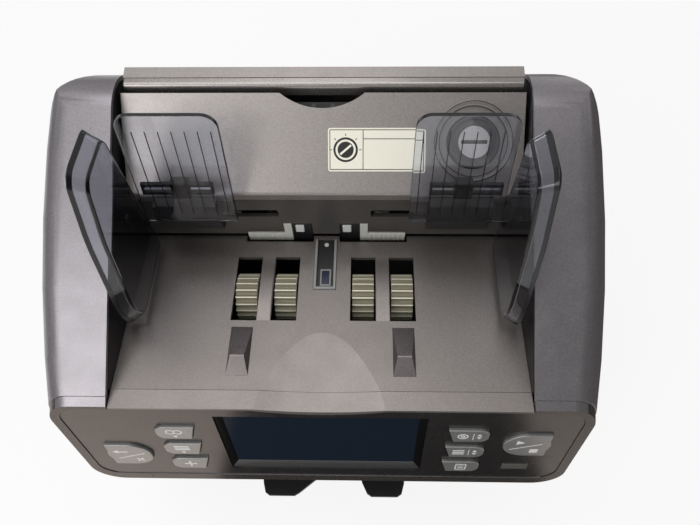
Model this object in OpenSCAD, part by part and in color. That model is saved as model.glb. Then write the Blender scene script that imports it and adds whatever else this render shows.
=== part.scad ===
// Table-top banknote counter. Notes lie in a sloping hopper between two sliding guides, pass under the
// back wall, run down past the sensors and are stacked in the pocket below the control panel.
// Millimetres. X to the right, Y to the rear, Z up; the origin is the middle of the footprint.

/* [Case] */
// Overall width over the bowed side covers
body_w = 290; // [280:1:304]
// Width of the front bezel
panel_w = 278.6; // [272:0.2:288]
// Plan radius of the bowed side covers
bow_r = 700; // [600:10:900]
// Distance of the widest place of the side covers behind the middle
bow_y = 8; // [0:1:14]
// Overall depth from the tray tongues to the rear face
body_d = 232; // [226:1:244]
// Clear width between the two frame plates
hopper_w = 212; // [204:1:216]
// Height of the front edge of the hopper
panel_top_z = 195; // [190:1:204]
// Wall of the moulded covers
cover_wall = 2.5; // [2:0.1:3]
// Thickness of the steel frame plates
frame_t = 2; // [1.5:0.1:2.5]
// Height of the rubber feet
foot_h = 6; // [5:0.5:8]
// Thickness of the base pan
base_t = 2.5; // [2:0.1:3.5]
// Rise of the case top towards the rear, degrees
top_tilt = 18.8; // [17:0.1:20]
// Forward lean of the upper rear face, degrees
rear_lean = 9.7; // [8:0.1:11]
// Height of the knee where the rear face starts to lean
knee_z = 100; // [96:1:104]
// Radius of the rear top edge
crown_r = 24; // [18:1:30]
// Radius of the outer top edges
shoulder_r = 14; // [10:1:18]
// Radius of the rear corners
corner_r = 38; // [30:1:42]

/* [Panel] */
// Lean of the control panel from upright, degrees
panel_tilt = 17.8; // [16:0.1:20]
// Length of the control panel down its slope
panel_len = 95.5; // [94:0.5:100]
// Distance of the panel's lower edge behind the tray tongues
nose_set = 8.2; // [6:0.1:12]
// Thickness of the front bezel
bezel_t = 4; // [3.6:0.1:5]
// Radius of the lower corners of the bezel
nose_r = 17.5; // [14:0.5:22]
// Width of the display window
screen_w = 101.5; // [96:0.5:104]
// Height of the display window
screen_h = 60; // [56:0.5:62]
// Middle of the display window down the panel
screen_s = 41.5; // [40:0.1:43]
// Width of the small keys
key_w = 21.5; // [20:0.1:22]
// Height of the small keys
key_h = 13.6; // [12:0.1:14.5]
// Distance of the small key columns from the middle
key_col = 77; // [75.5:0.1:78]
// Spacing of the small keys down the panel
key_pitch = 20.6; // [19:0.1:21]
// Middle of the first small keys down the panel
key_first = 27; // [26:0.1:28]
// Width of the two large keys
big_key_w = 24.3; // [22:0.1:25]
// Height of the two large keys
big_key_h = 25.4; // [24:0.1:26]
// Distance of the large keys from the middle
big_key_x = 109; // [108:0.1:111]
// Travel of a key
key_travel = 1.2; // [0.8:0.1:1.3]

/* [Hopper] */
// Fall of the front lip, degrees
lip_fall = 11; // [9:0.5:13]
// Length of the front lip
lip_len = 9.9; // [9:0.1:12]
// Fall of the hopper floor to the rear, degrees
floor_tilt = 13; // [12:0.1:14]
// Length of the hopper floor
floor_len = 96.5; // [94:0.5:100]
// Thickness of the hopper floor
floor_t = 2.5; // [2:0.1:3]
// Rearward lean of the back wall, degrees
wall_lean = 8.5; // [7:0.1:10]
// Thickness of the back wall
wall_t = 2.5; // [2:0.1:3]
// Length of the back wall up to the feed cover
wall_len = 36.3; // [35:0.1:38]
// Slope of the feed cover, degrees
cover_tilt = 32.4; // [31:0.1:34]
// Length of the feed cover up its slope
cover_len = 52.3; // [50:0.1:54]
// Diameter of the pick-up rollers
pick_d = 26; // [24:0.5:28]
// Width of a pick-up roller
pick_w = 11.8; // [10:0.1:13]
// Side distance of each pair of pick-up rollers from the middle
pick_pair = 32.2; // [31:0.1:33]
// Spacing of the two rollers of a pair
pick_gap = 21.5; // [20:0.1:22]
// Height of the pick-up rollers above the floor
pick_rise = 2; // [1:0.1:3]

/* [Guides] */
// Inner face of a note guide from the middle, guides wide open
guide_x = 94; // [92:0.5:95]
// Thickness of the clear guides
guide_t = 2.5; // [2:0.1:3]
// Width of the rear plate of a guide
guide_w = 51; // [48:0.5:53]
// Height of the wing above the hopper floor
guide_h = 100; // [92:1:104]
// Height of the slot that holds the guide carriage
slot_h = 6.5; // [6:0.1:7]
// Travel of each guide
guide_travel = 24; // [18:1:26]

/* [Drive] */
// Diameter of the roller shafts
shaft_d = 8; // [6:0.5:10]
// Outer diameter of the shaft bearings
bearing_d = 16; // [15:0.5:18]
// Diameter of the feed rollers
feed_d = 30; // [28:0.5:31]
// Diameter of the retard rollers
retard_d = 26; // [24:0.5:27]
// Diameter of the stacker wheels
stacker_d = 60; // [54:1:62]
// Diameter of the motor
motor_d = 44; // [38:1:48]
// Belt diameter of the motor pulley
pulley_motor = 18; // [16:1:22]
// Belt diameter of the pick-up and feed pulleys
pulley_feed = 24; // [20:1:26]
// Belt diameter of the stacker pulley
pulley_stacker = 36; // [32:1:40]
// Running clearance on radius
run = 0.05; // [0.03:0.01:0.08]
// Gap between fixed pieces
gap = 0.2; // [0.15:0.05:0.3]

/* [Hidden] */
$fn = 64;
long = 500;
half_w = body_w / 2;
panel_half = panel_w / 2;
hop = hopper_w / 2;
in_x = hop - gap;
base_top = foot_h + base_t;
rear_y = body_d / 2;
panel_ang = 90 - panel_tilt;
wall_ang = 90 - wall_lean;
top_step = 1;
nose_fall = 25;
lower_lean = 4.8;
lower_y = -body_d / 2 + 36;
film_set = 0.4;
film_t = 0.8;
film_rim = 5.5;
key_gap = 0.3;
key_rise = 1.2;
lip_face = 1.5;
lip_t = 3;
bulge_w = 70;
bulge = 4;
scoop_w = 70;
scoop_len = 43;
scoop_deep = 2.9;
scoop_t = 1.8;
board_set = 2;
board_t = 1.6;

function dir(a) = [cos(a), sin(a)];
function left_of(a) = [-sin(a), cos(a)];
function ahead(p, a, d) = p + d * dir(a);
function meet(p, a, q, b) = p + dir(a) * cross(q - p, dir(b)) / cross(dir(a), dir(b));
function arc(c, r, a, b, n) = [for (i = [0 : n]) c + r * dir(a + (b - a) * i / n)];
function in_frame(p, a, s, n) = p + s * dir(a) + n * left_of(a);

// Points of the side profile as [Y, Z]
nose = [-body_d / 2 + nose_set, panel_top_z - panel_len * cos(panel_tilt)];
panel_top = nose + panel_len * dir(panel_ang);
seam = ahead(panel_top, -lip_fall, lip_len);
floor_end = ahead(seam, -floor_tilt, floor_len);
edge = ahead(floor_end, wall_ang, wall_len + 5.2);
cover_top = ahead(edge, cover_tilt, cover_len);
crown = meet(panel_top + [0, top_step] + crown_r * left_of(180 + top_tilt), 180 + top_tilt,
    [rear_y, knee_z] + crown_r * left_of(90 + rear_lean), 90 + rear_lean);
nose_root = meet(nose, -nose_fall, [lower_y, 0], lower_lean - 90);
rail_y = cover_top[0] + 3.9;
rail_d = 5.6;
rail_z = cover_top[1];
hinge_z = knee_z + 9;
function slant(z, d) = rear_y - (z - knee_z) * tan(rear_lean) - d / cos(rear_lean);
hinge = [slant(hinge_z, 0) - 6.4, hinge_z];

// Shaft axes as [Y, Z]
pick_r = pick_d / 2;
pick_s = floor_len - 35;
pick_axis = in_frame(seam, -floor_tilt, pick_s, pick_rise - pick_r);
pick_xs = [for (k = [-1, 1]) for (j = [-1, 1]) k * (pick_pair + j * pick_gap / 2)];
feed_axis = floor_end + [22.8, -4 - feed_d / 2];
retard_axis = feed_axis + [0, (feed_d + retard_d) / 2 + 2];
pocket_y = lower_y + 33;
stacker_axis = [pocket_y + 11, base_top + 53.5];
stacker_x = 36;
stacker_w = 14;
motor_axis = [rear_y - 54, base_top + 10 + motor_d / 2];
shaft_r = shaft_d / 2;
shaft_out = hop + frame_t + 4;
pulley_x = hop + frame_t + 5;
pulley_w = 8;
hub_r = pick_r - 5;

module across(w) {
    rotate([90, 0, 90]) linear_extrude(w, center = true) children();
}

module along_x(x0, x1, p, r) {
    translate([x0, p[0], p[1]]) rotate([0, 90, 0]) cylinder(r = r, h = x1 - x0);
}

module on_slope(p, a) {
    translate([0, p[0], p[1]]) rotate([a, 0, 0]) children();
}

module panel_frame() {
    on_slope(panel_top, panel_ang) children();
}

module floor_frame() {
    on_slope(seam, -floor_tilt) children();
}

module wall_frame() {
    on_slope(floor_end, wall_ang) children();
}

module cover_frame() {
    on_slope(edge, cover_tilt) children();
}

module both_sides() {
    children();
    mirror([1, 0, 0]) children();
}

module box(x0, x1, y0, y1, z0, z1) {
    translate([x0, y0, z0]) cube([x1 - x0, y1 - y0, z1 - z0]);
}

module patch(x0, x1, y0, y1) {
    translate([x0, y0]) square([x1 - x0, y1 - y0]);
}

module round_patch(x0, x1, y0, y1, r) {
    patch(x0 + r, x1 - r, y0, y1);
    patch(x0, x1, y0 + r, y1 - r);
    for (x = [x0 + r, x1 - r])
        for (y = [y0 + r, y1 - r])
            translate([x, y]) circle(r);
}

// The same with corners of short flat steps, for the large rounded covers
module soft_patch(x0, x1, y0, y1, r) {
    polygon([
        for (p = arc([x1 - r, y0 + r], r, -90, 0, 9)) p,
        for (p = arc([x1 - r, y1 - r], r, 0, 90, 9)) p,
        for (p = arc([x0 + r, y1 - r], r, 90, 180, 9)) p,
        for (p = arc([x0 + r, y0 + r], r, 180, 270, 9)) p]);
}

// Side profile of the case, d inside the skin, e behind the panel face, standing on z0
module case_profile(d, e, z0) {
    t = panel_top + [0, top_step] + d * left_of(180 + top_tilt);
    f = panel_top + e * left_of(180 + panel_ang);
    u = nose + d * left_of(-nose_fall);
    l = [lower_y, 0] + d * left_of(lower_lean - 90);
    s = [rear_y, knee_z] + d * left_of(90 + rear_lean);
    polygon([
        meet(l, lower_lean - 90, [0, z0], 0),
        [rear_y - d, z0],
        meet([rear_y - d, 0], 90, s, 90 + rear_lean),
        for (p = arc(crown, crown_r - d, rear_lean, 90 + top_tilt, 12)) p,
        meet(t, 180 + top_tilt, f, 180 + panel_ang),
        meet(f, 180 + panel_ang, u, -nose_fall),
        meet(u, -nose_fall, l, lower_lean - 90)]);
}

// Plan of the bowed sides: flat strips on an arc of radius bow_r
bow_n = 6;
bow_c = [half_w - bow_r, bow_y];
bow_a0 = asin((panel_top[0] - 6 - bow_y) / bow_r);
bow_a1 = asin((rear_y - bow_y) / bow_r);
bow_step = (bow_a1 - bow_a0) / bow_n;
function bow_x(y) = bow_c[0] + sqrt(bow_r * bow_r - (y - bow_y) * (y - bow_y));
function bow_at(i, d) = bow_c + (bow_r - d) * dir(bow_a0 + bow_step * i);

// A rounded corner of radius r between a side and a top face, d inside both; a is the angle of the top's normal
module corner_patch(a, r, d) {
    c = [-r, (r * cos(a) - r) / sin(a)];
    p = arc(c, r - d, 0, a, 9);
    polygon(concat([[-d, -long]], p, [p[9] + long * left_of(a), [-2 * long, -long]]));
}

// Side strip i with its shoulder along the top
module bow_strip(i, d) {
    a = bow_a0 + bow_step * (i + 0.5);
    r = bow_r * cos(bow_step / 2);
    top = panel_top[1] + top_step + (bow_c[1] + r * sin(a) - panel_top[0]) * tan(top_tilt);
    translate([bow_c[0], bow_c[1], 0]) rotate([0, 0, a]) translate([r, 0, top])
        rotate([atan(cos(a) * tan(top_tilt)), 0, 0]) rotate([90, 0, 0])
            linear_extrude(2 * long, center = true)
                corner_patch(acos(-sin(a) * sin(top_tilt)), shoulder_r, d);
}

// Rear corner, tangent to the bowed side
module rear_corner(d) {
    y = rear_y - corner_r - 8;
    a = asin((y - bow_y) / bow_r);
    p = arc([bow_x(y) - corner_r, corner_r], corner_r - d, -90, -a, 10);
    on_slope([rear_y, knee_z], 90 + rear_lean) rotate([90, 0, 0]) linear_extrude(2 * long, center = true)
        polygon(concat([[-long, d]], p, [p[10] + long * [sin(a), cos(a)], [-long, 2 * long]]));
}

// Plan of the rear corner below the knee
module corner_plan(d) {
    y = rear_y - corner_r - 8;
    a = asin((y - bow_y) / bow_r);
    p = arc([bow_x(y) - corner_r, rear_y - corner_r], corner_r - d, 90, a, 10);
    polygon(concat([[-long, rear_y - d]], p, [p[10] + long * [sin(a), -cos(a)], [-long, -2 * long]]));
}

module nose_form(w, d) {
    panel_frame() translate([0, 0, -long]) linear_extrude(2 * long)
        soft_patch(-w, w, -panel_len + d, long, nose_r - d);
    box(-long, long, nose_root[0] + d, long, -long, long);
}

// Outer form of the right hand side of the case
module cover_form(d, e, z0) {
    intersection() {
        across(2 * half_w) case_profile(d, e, z0);
        bow_strip(0, d);
        bow_strip(1, d);
        bow_strip(2, d);
        bow_strip(3, d);
        bow_strip(4, d);
        bow_strip(5, d);
        rear_corner(d);
        translate([0, 0, -long]) linear_extrude(2 * long) corner_plan(d);
        nose_form(panel_half - d, d);
    }
}

// Straight form of the front with its shoulders and nose
module front_form() {
    intersection() {
        across(panel_w) case_profile(0, 0, base_top);
        on_slope(panel_top + [0, top_step], top_tilt) rotate([90, 0, 0]) linear_extrude(2 * long, center = true)
            soft_patch(-panel_half, panel_half, -long, 0, shoulder_r);
        nose_form(panel_half, 0);
    }
}

module side_cover() {
    difference() {
        intersection() {
            cover_form(0, bezel_t + gap, base_top);
            box(hop + gap, long, -long, long, -long, long);
        }
        cover_form(cover_wall, bezel_t - 6, base_top - 6);
    }
}

module left_side_cover() {
    color("silver") mirror([1, 0, 0]) side_cover();
}

module right_side_cover() {
    color("silver") side_cover();
}

// Steel side plate that carries the shafts
module frame_plate() {
    difference() {
        translate([hop + frame_t / 2, 0, 0])
            across(frame_t) case_profile(cover_wall + 0.3, bezel_t + board_set + board_t + 1.2, base_top);
        intersection() {
            panel_frame() box(0, long, -long, -panel_len + cover_wall + 0.3, -long, long);
            box(0, long, -long, nose_root[0] + cover_wall + 0.3, 0, long);
        }
        for (p = [pick_axis, feed_axis, stacker_axis])
            along_x(hop - 1, hop + frame_t + 1, p, bearing_d / 2 + run);
    }
}

module left_frame_plate() {
    color("dimgray") difference() {
        mirror([1, 0, 0]) frame_plate();
        along_x(-hop - frame_t - 1, -hop + 1, motor_axis, 6);
    }
}

module right_frame_plate() {
    color("dimgray") frame_plate();
}

// Floor plan inside the bowed covers, d in from their skin
module base_plan(d) {
    side = [for (i = [0 : bow_n]) bow_at(i, d)];
    front = bow_at(0, d)[0] + (lower_y - bow_at(0, d)[1]) * tan(-bow_a0);
    intersection() {
        polygon(concat([[front, lower_y - 20]], side,
            [for (i = [bow_n : -1 : 0]) [-side[i][0], side[i][1]]], [[-front, lower_y - 20]]));
        corner_plan(d);
        mirror([1, 0]) corner_plan(d);
        patch(-half_w, half_w, lower_y + 1, long);
    }
}

module base_pan() {
    color("dimgray") translate([0, 0, foot_h]) linear_extrude(base_t) base_plan(2);
}

feet_at = [for (x = [-1, 1]) for (y = [lower_y + 22, rear_y - 24]) [x * (half_w - 26), y]];

module rubber_feet() {
    color("black") for (p = feet_at)
        translate([p[0], p[1], 0]) cylinder(r = 9, h = foot_h);
}

module case_screws() {
    color("silver") {
        for (p = feet_at)
            translate([p[0] * 0.82, p[1], foot_h - 1.6]) cylinder(r = 3, h = 1.6);
        for (k = [-1, 1]) {
            along_x(k * (hop - 0.6) - 0.6, k * (hop - 0.6) + 0.6, wall_screw, 2.4);
            along_x(k * (hop - 0.6) - 0.6, k * (hop - 0.6) + 0.6, wall_screw + [-1.5, -7], 1.6);
        }
        cover_frame() for (k = [-1, 1])
            translate([k * 5, cup_y1 - 1.8, -cup_deep + 1.5]) cylinder(r = 1.2, h = 0.8);
    }
}

wall_screw = in_frame(floor_end, wall_ang, 36, 12);

// Front
bulge_r = (pow(bulge_w / 2, 2) + pow(bulge, 2)) / (2 * bulge);

module bulge_patch(g) {
    translate([0, bulge_r - lip_face - bulge]) circle(bulge_r + g, $fn = 128);
}

module lip_cut(g) {
    patch(-in_x - 2 * g, in_x + 2 * g, -lip_face - g, long);
    intersection() {
        bulge_patch(g);
        patch(-bulge_w, bulge_w, -lip_face - bulge - 2, 0);
    }
}

module film_patch(g) {
    round_patch(-panel_half + film_rim - g, panel_half - film_rim + g, -panel_len + 8 - g, -2 + g, nose_r - 5);
}

module window_patch(side, top, bottom) {
    patch(-screen_w / 2 - side, screen_w / 2 + side,
        -screen_s - screen_h / 2 - bottom, -screen_s + screen_h / 2 + top);
}

module small_key_patch(g) {
    difference() {
        union() {
            round_patch(-key_w / 2 - g, key_w / 2 + g, -key_h / 2 - g, key_h / 2 + g, 5);
            patch(0, key_w / 2 + g, -key_h / 2 - g, key_h / 2 + g);
        }
        translate([key_w / 2 + g - 3.4, -key_h / 2 - g]) rotate(-14) patch(0, 20, -20, 40);
    }
}

module big_key_patch(g) {
    patch(-big_key_w / 2 - g, big_key_w / 2 - big_key_h / 2, -big_key_h / 2 - g, big_key_h / 2 + g);
    translate([big_key_w / 2 - big_key_h / 2, 0]) circle(big_key_h / 2 + g);
}

// Key places: column, row; the last two are the large keys
key_at = [
    for (x = [-1, 1]) for (k = [0 : 2]) [x * key_col, -key_first - k * key_pitch],
    [-big_key_x, -56.8], [big_key_x, -38.4]];

module key_patch(k, g) {
    translate(key_at[k]) mirror([key_at[k][0] > 0 ? 1 : 0, 0])
        if (k < 6) small_key_patch(g); else big_key_patch(g);
}

module lens_patch(g) {
    patch(101.2 - g, 115.8 + g, -73 - g, -66.3 + g);
}

module front_bezel() {
    color("dimgray") difference() {
        intersection() {
            front_form();
            panel_frame() translate([0, 0, -bezel_t]) linear_extrude(bezel_t + 2)
                patch(-half_w, half_w, -panel_len - 1, 60);
        }
        panel_frame() {
            translate([0, 0, -bezel_t - 1]) linear_extrude(bezel_t + 3) lip_cut(gap);
            translate([0, 0, -film_set - film_t]) linear_extrude(4) film_patch(gap);
            hull() {
                translate([0, 0, -film_set - film_t]) linear_extrude(0.1) window_patch(4.2, 2, 6.4);
                translate([0, 0, -bezel_t + 1]) linear_extrude(0.1) window_patch(0, 0, 0);
            }
            translate([0, 0, -bezel_t - 1]) linear_extrude(2.05) window_patch(1.5, 1.2, 1.2);
            for (k = [0 : 7])
                translate([0, 0, -bezel_t - 1]) linear_extrude(bezel_t + 3) key_patch(k, key_gap);
        }
    }
}

module control_panel() {
    color("black") panel_frame() translate([0, 0, -film_set - film_t]) linear_extrude(film_t)
        difference() {
            film_patch(0);
            lip_cut(gap + 0.1);
            window_patch(4.2, 2, 6.4);
            for (k = [0 : 7])
                key_patch(k, key_gap);
            lens_patch(gap);
        }
}

module display_glass() {
    color("navy") panel_frame() translate([0, 0, -bezel_t]) linear_extrude(1.05) window_patch(1.3, 1, 1);
}

module status_lens() {
    color("darkgreen") panel_frame() translate([0, 0, -film_set - film_t]) linear_extrude(1.4) lens_patch(0);
}

module key_board() {
    color("green") panel_frame() {
        translate([0, 0, -bezel_t - board_set - board_t]) linear_extrude(board_t)
            patch(-panel_half + 14, panel_half - 14, -panel_len + 12, -17);
        for (p = [[-60, -20], [60, -20], [-60, -panel_len + 15.5], [60, -panel_len + 15.5]])
            translate([p[0], p[1], -bezel_t - board_set - 0.1]) cylinder(r = 2.5, h = board_set + 0.1);
        for (p = key_at)
            translate([p[0], p[1], -bezel_t - board_set - 0.1])
                cylinder(r = 2.5, h = board_set - key_travel - 0.2);
    }
}

module key_cap(k) {
    color("silver") panel_frame() translate([0, 0, -bezel_t]) linear_extrude(bezel_t + key_rise)
        key_patch(k, 0);
}

module currency_key() key_cap(0);
module batch_key() key_cap(1);
module add_key() key_cap(2);
module mode_key() key_cap(3);
module menu_key() key_cap(4);
module report_key() key_cap(5);
module back_key() key_cap(6);
module start_key() key_cap(7);

// Hopper
scoop_r = (pow(scoop_w / 2, 2) + pow(scoop_deep, 2)) / (2 * scoop_deep);

// Round body that presses the finger scoop into the lip and floor, g outside its skin
module scoop_form(g) {
    floor_frame() translate([0, scoop_len - lip_len, 0]) rotate([atan(scoop_deep / scoop_len), 0, 0])
        translate([0, 0, scoop_r]) rotate([90, 0, 0]) cylinder(r = scoop_r + g, h = 3 * scoop_len, center = true, $fn = 480);
}

module hopper_front_lip() {
    a = panel_top - lip_face * dir(panel_ang);
    b = ahead(panel_top, -lip_fall, lip_len);
    color("gray") difference() {
        union() {
            across(2 * in_x) polygon([panel_top, a, a + lip_t * left_of(180 + panel_ang),
                b - lip_t * left_of(-lip_fall), b]);
            panel_frame() translate([0, 0, -lip_t]) linear_extrude(lip_t) intersection() {
                bulge_patch(0);
                patch(-bulge_w / 2, bulge_w / 2, -lip_face - bulge - 1, -0.6);
            }
            intersection() {
                scoop_form(scoop_t);
                panel_frame() box(-30, 30, -9, 3, -long, -2.4);
                floor_frame() box(-31, 31, -long, 0, -8, -0.6);
            }
        }
        scoop_form(0);
    }
}

sensor_w = 6.2;
sensor_y0 = floor_len - 36.7;
sensor_y1 = floor_len - 3;

feed_gap = 4.2;
strip_in = 19.5;
strip_out = 45.7;
strip_low = -4.2;
slot_fore = 21.4;
slot_aft = 19.8;
slot_side = 1.1;
rib_rise = 1.6;
rib_w = pick_gap - pick_w - 2 * slot_side - 0.6;
rib_half = (slot_fore + slot_aft) / 2;
rib_r = (rib_half * rib_half + rib_rise * rib_rise) / (2 * rib_rise);

module hopper_floor() {
    color("gray") difference() {
        floor_sheet();
        scoop_form(0);
    }
}

module floor_sheet() {
    intersection() {
        scoop_form(scoop_t);
        floor_frame() box(-30, 30, gap, scoop_len - lip_len, -8, -0.6);
    }
    floor_frame() {
        translate([0, 0, -floor_t]) linear_extrude(floor_t) difference() {
            patch(-in_x, in_x, gap, floor_len);
            for (x = pick_xs)
                patch(x - pick_w / 2 - slot_side, x + pick_w / 2 + slot_side, pick_s - slot_fore, pick_s + slot_aft);
            patch(-sensor_w - gap, sensor_w + gap, sensor_y0 - gap, sensor_y1 + gap);
            for (k = [0, 1]) mirror([k, 0])
                patch(strip_in - 12, strip_out + 1, floor_len - feed_gap, floor_len + 1);
        }
        for (k = [-1, 1]) translate([k * pick_pair, 0, 0]) across(rib_w) intersection() {
            translate([pick_s + (slot_aft - slot_fore) / 2, rib_rise - rib_r]) circle(rib_r, $fn = 200);
            patch(pick_s - slot_fore, pick_s + slot_aft, -1, rib_rise + 1);
        }
    }
}

module lift_ramps() {
    color("gray") floor_frame() for (k = [-1, 1]) translate([k * (pick_pair + pick_gap / 2), 0, 0]) hull() {
        linear_extrude(0.1) patch(-5.8, 5.8, pick_s - 53.5, pick_s - 25.5);
        translate([0, 0, 4.9]) linear_extrude(0.1) patch(-3.7, 3.7, pick_s - 45.1, pick_s - 43.9);
    }
}

module sensor_frame() {
    color("lightgray") floor_frame() translate([0, 0, -floor_t]) linear_extrude(floor_t + 1) difference() {
        patch(-sensor_w, sensor_w, sensor_y0, sensor_y1);
        patch(-sensor_w + 1.5, sensor_w - 1.5, sensor_y0 + 1.5, sensor_y1 + 1);
    }
}

module hopper_sensor() {
    color("black") floor_frame() translate([0, 0, -6]) linear_extrude(5.4)
        patch(-sensor_w + 1.5 + gap, sensor_w - 1.5 - gap, sensor_y0 + 1.5 + gap, sensor_y1);
}

slot_y0 = 20.2;
slot_in = 25.5;
slot_out = 91;

module hopper_back_wall() {
    color("gray") wall_frame() translate([0, 0, -wall_t]) linear_extrude(wall_t) difference() {
        patch(-in_x, in_x, 2.6, wall_len);
        for (k = [0, 1]) mirror([k, 0]) {
            round_patch(slot_in, slot_out, slot_y0, slot_y0 + slot_h, 1.5);
            patch(strip_in - gap, strip_out + gap, 0, 4.6 + gap);
            patch(strip_in - 11.5 - gap, strip_in + 4.5 + gap, 0, 13.2 + gap);
        }
    }
}

module wear_strips() {
    color("white") wall_frame() translate([0, 0, -wall_t + 0.3]) linear_extrude(wall_t)
        both_sides() {
            patch(strip_in, strip_out, strip_low, 3.4);
            patch(strip_in, strip_in + 4.5, strip_low, 13.2);
        }
}

module edge_sensors() {
    color("black") wall_frame() both_sides()
        box(strip_in - 11.5, strip_in - gap, strip_low, 13.2, -6, 0);
}

notch_half = 22;
notch_deep = 7.7;
notch_r = (notch_half * notch_half + notch_deep * notch_deep) / (2 * notch_deep);
knob_at = [78.2, 28];
cover_x = hop - 1.5;
cup_y1 = cover_len - 4.3;
cup_deep = 11;

module feed_cover() {
    t = cover_wall;
    a = ahead(floor_end, wall_ang, wall_len + gap);
    r = 3;
    ec = meet(edge - r * left_of(wall_ang), wall_ang, edge - r * left_of(cover_tilt), cover_tilt);
    color("gray") difference() {
        union() {
            across(2 * cover_x) difference() {
                union() {
                    polygon([a, ec + r * left_of(wall_ang), ec + r * left_of(cover_tilt),
                        cover_top, cover_top - [0, 9], a + [t + 20, 0]]);
                    translate(ec) circle(r);
                }
                polygon([a - t * left_of(wall_ang) - 4 * dir(wall_ang),
                    meet(edge - t * left_of(wall_ang), wall_ang, edge - t * left_of(cover_tilt), cover_tilt),
                    meet(edge - t * left_of(cover_tilt), cover_tilt, cover_top - [t, 0], 90),
                    cover_top - [t, 30], a + [t + 20, -30]]);
            }
            cover_frame() translate([knob_at[0], knob_at[1], 0]) {
                translate([0, 0, -9]) cylinder(r = 8, h = 8);
                translate([0, 0, -t - 1.2]) cylinder(r = 19.5, h = t + 1.2);
                translate([0, 0, -0.5]) cylinder(r = 20.5, h = 1.1);
            }
        }
        cover_frame() {
            translate([knob_at[0], knob_at[1], 0]) {
                translate([0, 0, -1.2]) cylinder(r = 17.5, h = 5);
                translate([0, 0, -0.1]) cylinder(r = 19.3, h = 5);
                translate([0, 0, -20]) cylinder(r = shaft_r + run, h = 30);
            }
            translate([0, cover_len - notch_deep + notch_r, -long / 2]) cylinder(r = notch_r, h = long, $fn = 96);
            box(-25 - 2 * gap, 25 + 2 * gap, cover_len - 12, cover_len + 9, -30, -cover_wall);
        }
    }
}

module pull_cup() {
    color("black") cover_frame() difference() {
        box(-25, 25, 41.5, cup_y1, -cup_deep, -cover_wall);
        translate([0, cover_len - notch_deep + notch_r, -cup_deep + 1.5])
            cylinder(r = notch_r + 1, h = 20, $fn = 96);
    }
}

module adjust_knob() {
    color("dimgray") cover_frame() translate([knob_at[0], knob_at[1], 0]) difference() {
        union() {
            translate([0, 0, -0.9]) cylinder(r = 13, h = 2.2);
            cylinder(r = 8.2, h = 3);
            translate([0, 0, -14]) cylinder(r = shaft_r, h = 15);
        }
        box(-6.6, 6.6, -0.9, 0.9, 2, 4);
        translate([0, 0, 0.7]) difference() {
            cylinder(r = 11.6, h = 2);
            cylinder(r = 9.6, h = 4, center = true);
        }
    }
}

// Note guides, drawn for the right hand side in the frame of the hopper floor as [s, n]
wing = [[floor_len - 10.5, 6], [floor_len - 19.5, guide_h - 0.7], [floor_len - 46.8, guide_h],
    [floor_len - 55.5, guide_h - 30], [floor_len - 62, 21], [floor_len - 56, 6.4]];
wing_mid = [floor_len - 34.5, guide_h - 48];
plate_foot = [floor_len - 13.9, 31.6];
plate_ang = 84.4;
plate_len = 69.5;
flange_out = 8.7;
flare = 1.11;

function turn(p, q, r, k) =
    let (u = (p - q) / norm(p - q), v = (r - q) / norm(r - q), h = acos(u * v) / 2, d = k / tan(h),
        c = q + (u + v) / norm(u + v) * k / sin(h))
    [for (i = [0 : 6]) let (a = q + u * d, b = q + v * d, m = a + (b - a) * i / 6)
        c + (m - c) / norm(m - c) * k];
wing_bend = concat([wing[1] + [-1, 0.05]], turn(wing[1], wing[2], wing[3], 8), turn(wing[2], wing[3], wing[4], 20),
    turn(wing[3], wing[4], wing[5], 8));

function wing_rear(k) = wing[0] + (wing[1] - wing[0]) * k;
function outward(p) = (p - wing_mid) / norm(p - wing_mid);

module guide_flange() {
    n = len(wing_bend);
    rim = concat(wing_bend, [for (i = [n - 1 : -1 : 0]) wing_bend[i] - guide_t * outward(wing_bend[i])]);
    translate([guide_x + 0.5, wing_mid[0], wing_mid[1]]) rotate([90, 0, 90])
        linear_extrude(flange_out - 0.5, scale = flare) polygon([for (p = rim) p - wing_mid]);
}

module note_guide() {
    color([0.6, 0.65, 0.7, 0.5]) floor_frame() {
        translate([guide_x, 0, 0]) rotate([90, 0, 90]) linear_extrude(guide_t) {
            polygon(concat([wing[5], wing[0], wing[1]], wing_bend));
            polygon([wing_rear(0.22) - [1.5, 0], plate_foot + [1.5, 0],
                ahead(plate_foot, plate_ang, 30) + [1, 0], wing_rear(0.62) - [1.5, 0]]);
        }
        guide_flange();
        translate([0, plate_foot[0], plate_foot[1]]) rotate([plate_ang, 0, 0]) {
            translate([0, 0, -guide_t]) linear_extrude(guide_t) {
                round_patch(guide_x + guide_t - guide_w, guide_x + guide_t, plate_len - 30, plate_len, 7);
                patch(guide_x + guide_t - guide_w, guide_x + guide_t, 0, plate_len - 10);
            }
            for (k = [1 : 7])
                box(guide_x - guide_w + 6.2 * k - 0.4, guide_x - guide_w + 6.2 * k + 0.4, 6, plate_len - 9, -0.1, 0.5);
        }
    }
}

module left_note_guide() {
    mirror([1, 0, 0]) note_guide();
}

module right_note_guide() {
    note_guide();
}

car_x0 = guide_x - 34;
car_x1 = guide_x - 6;

function wall_face(n, off) = let (p = meet([floor_len - off / sin(wall_ang + floor_tilt), 0],
    wall_ang + floor_tilt, [0, n], 0)) p;
function plate_back(n) = meet(plate_foot - guide_t * left_of(plate_ang), plate_ang, [0, n], 0);

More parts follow.
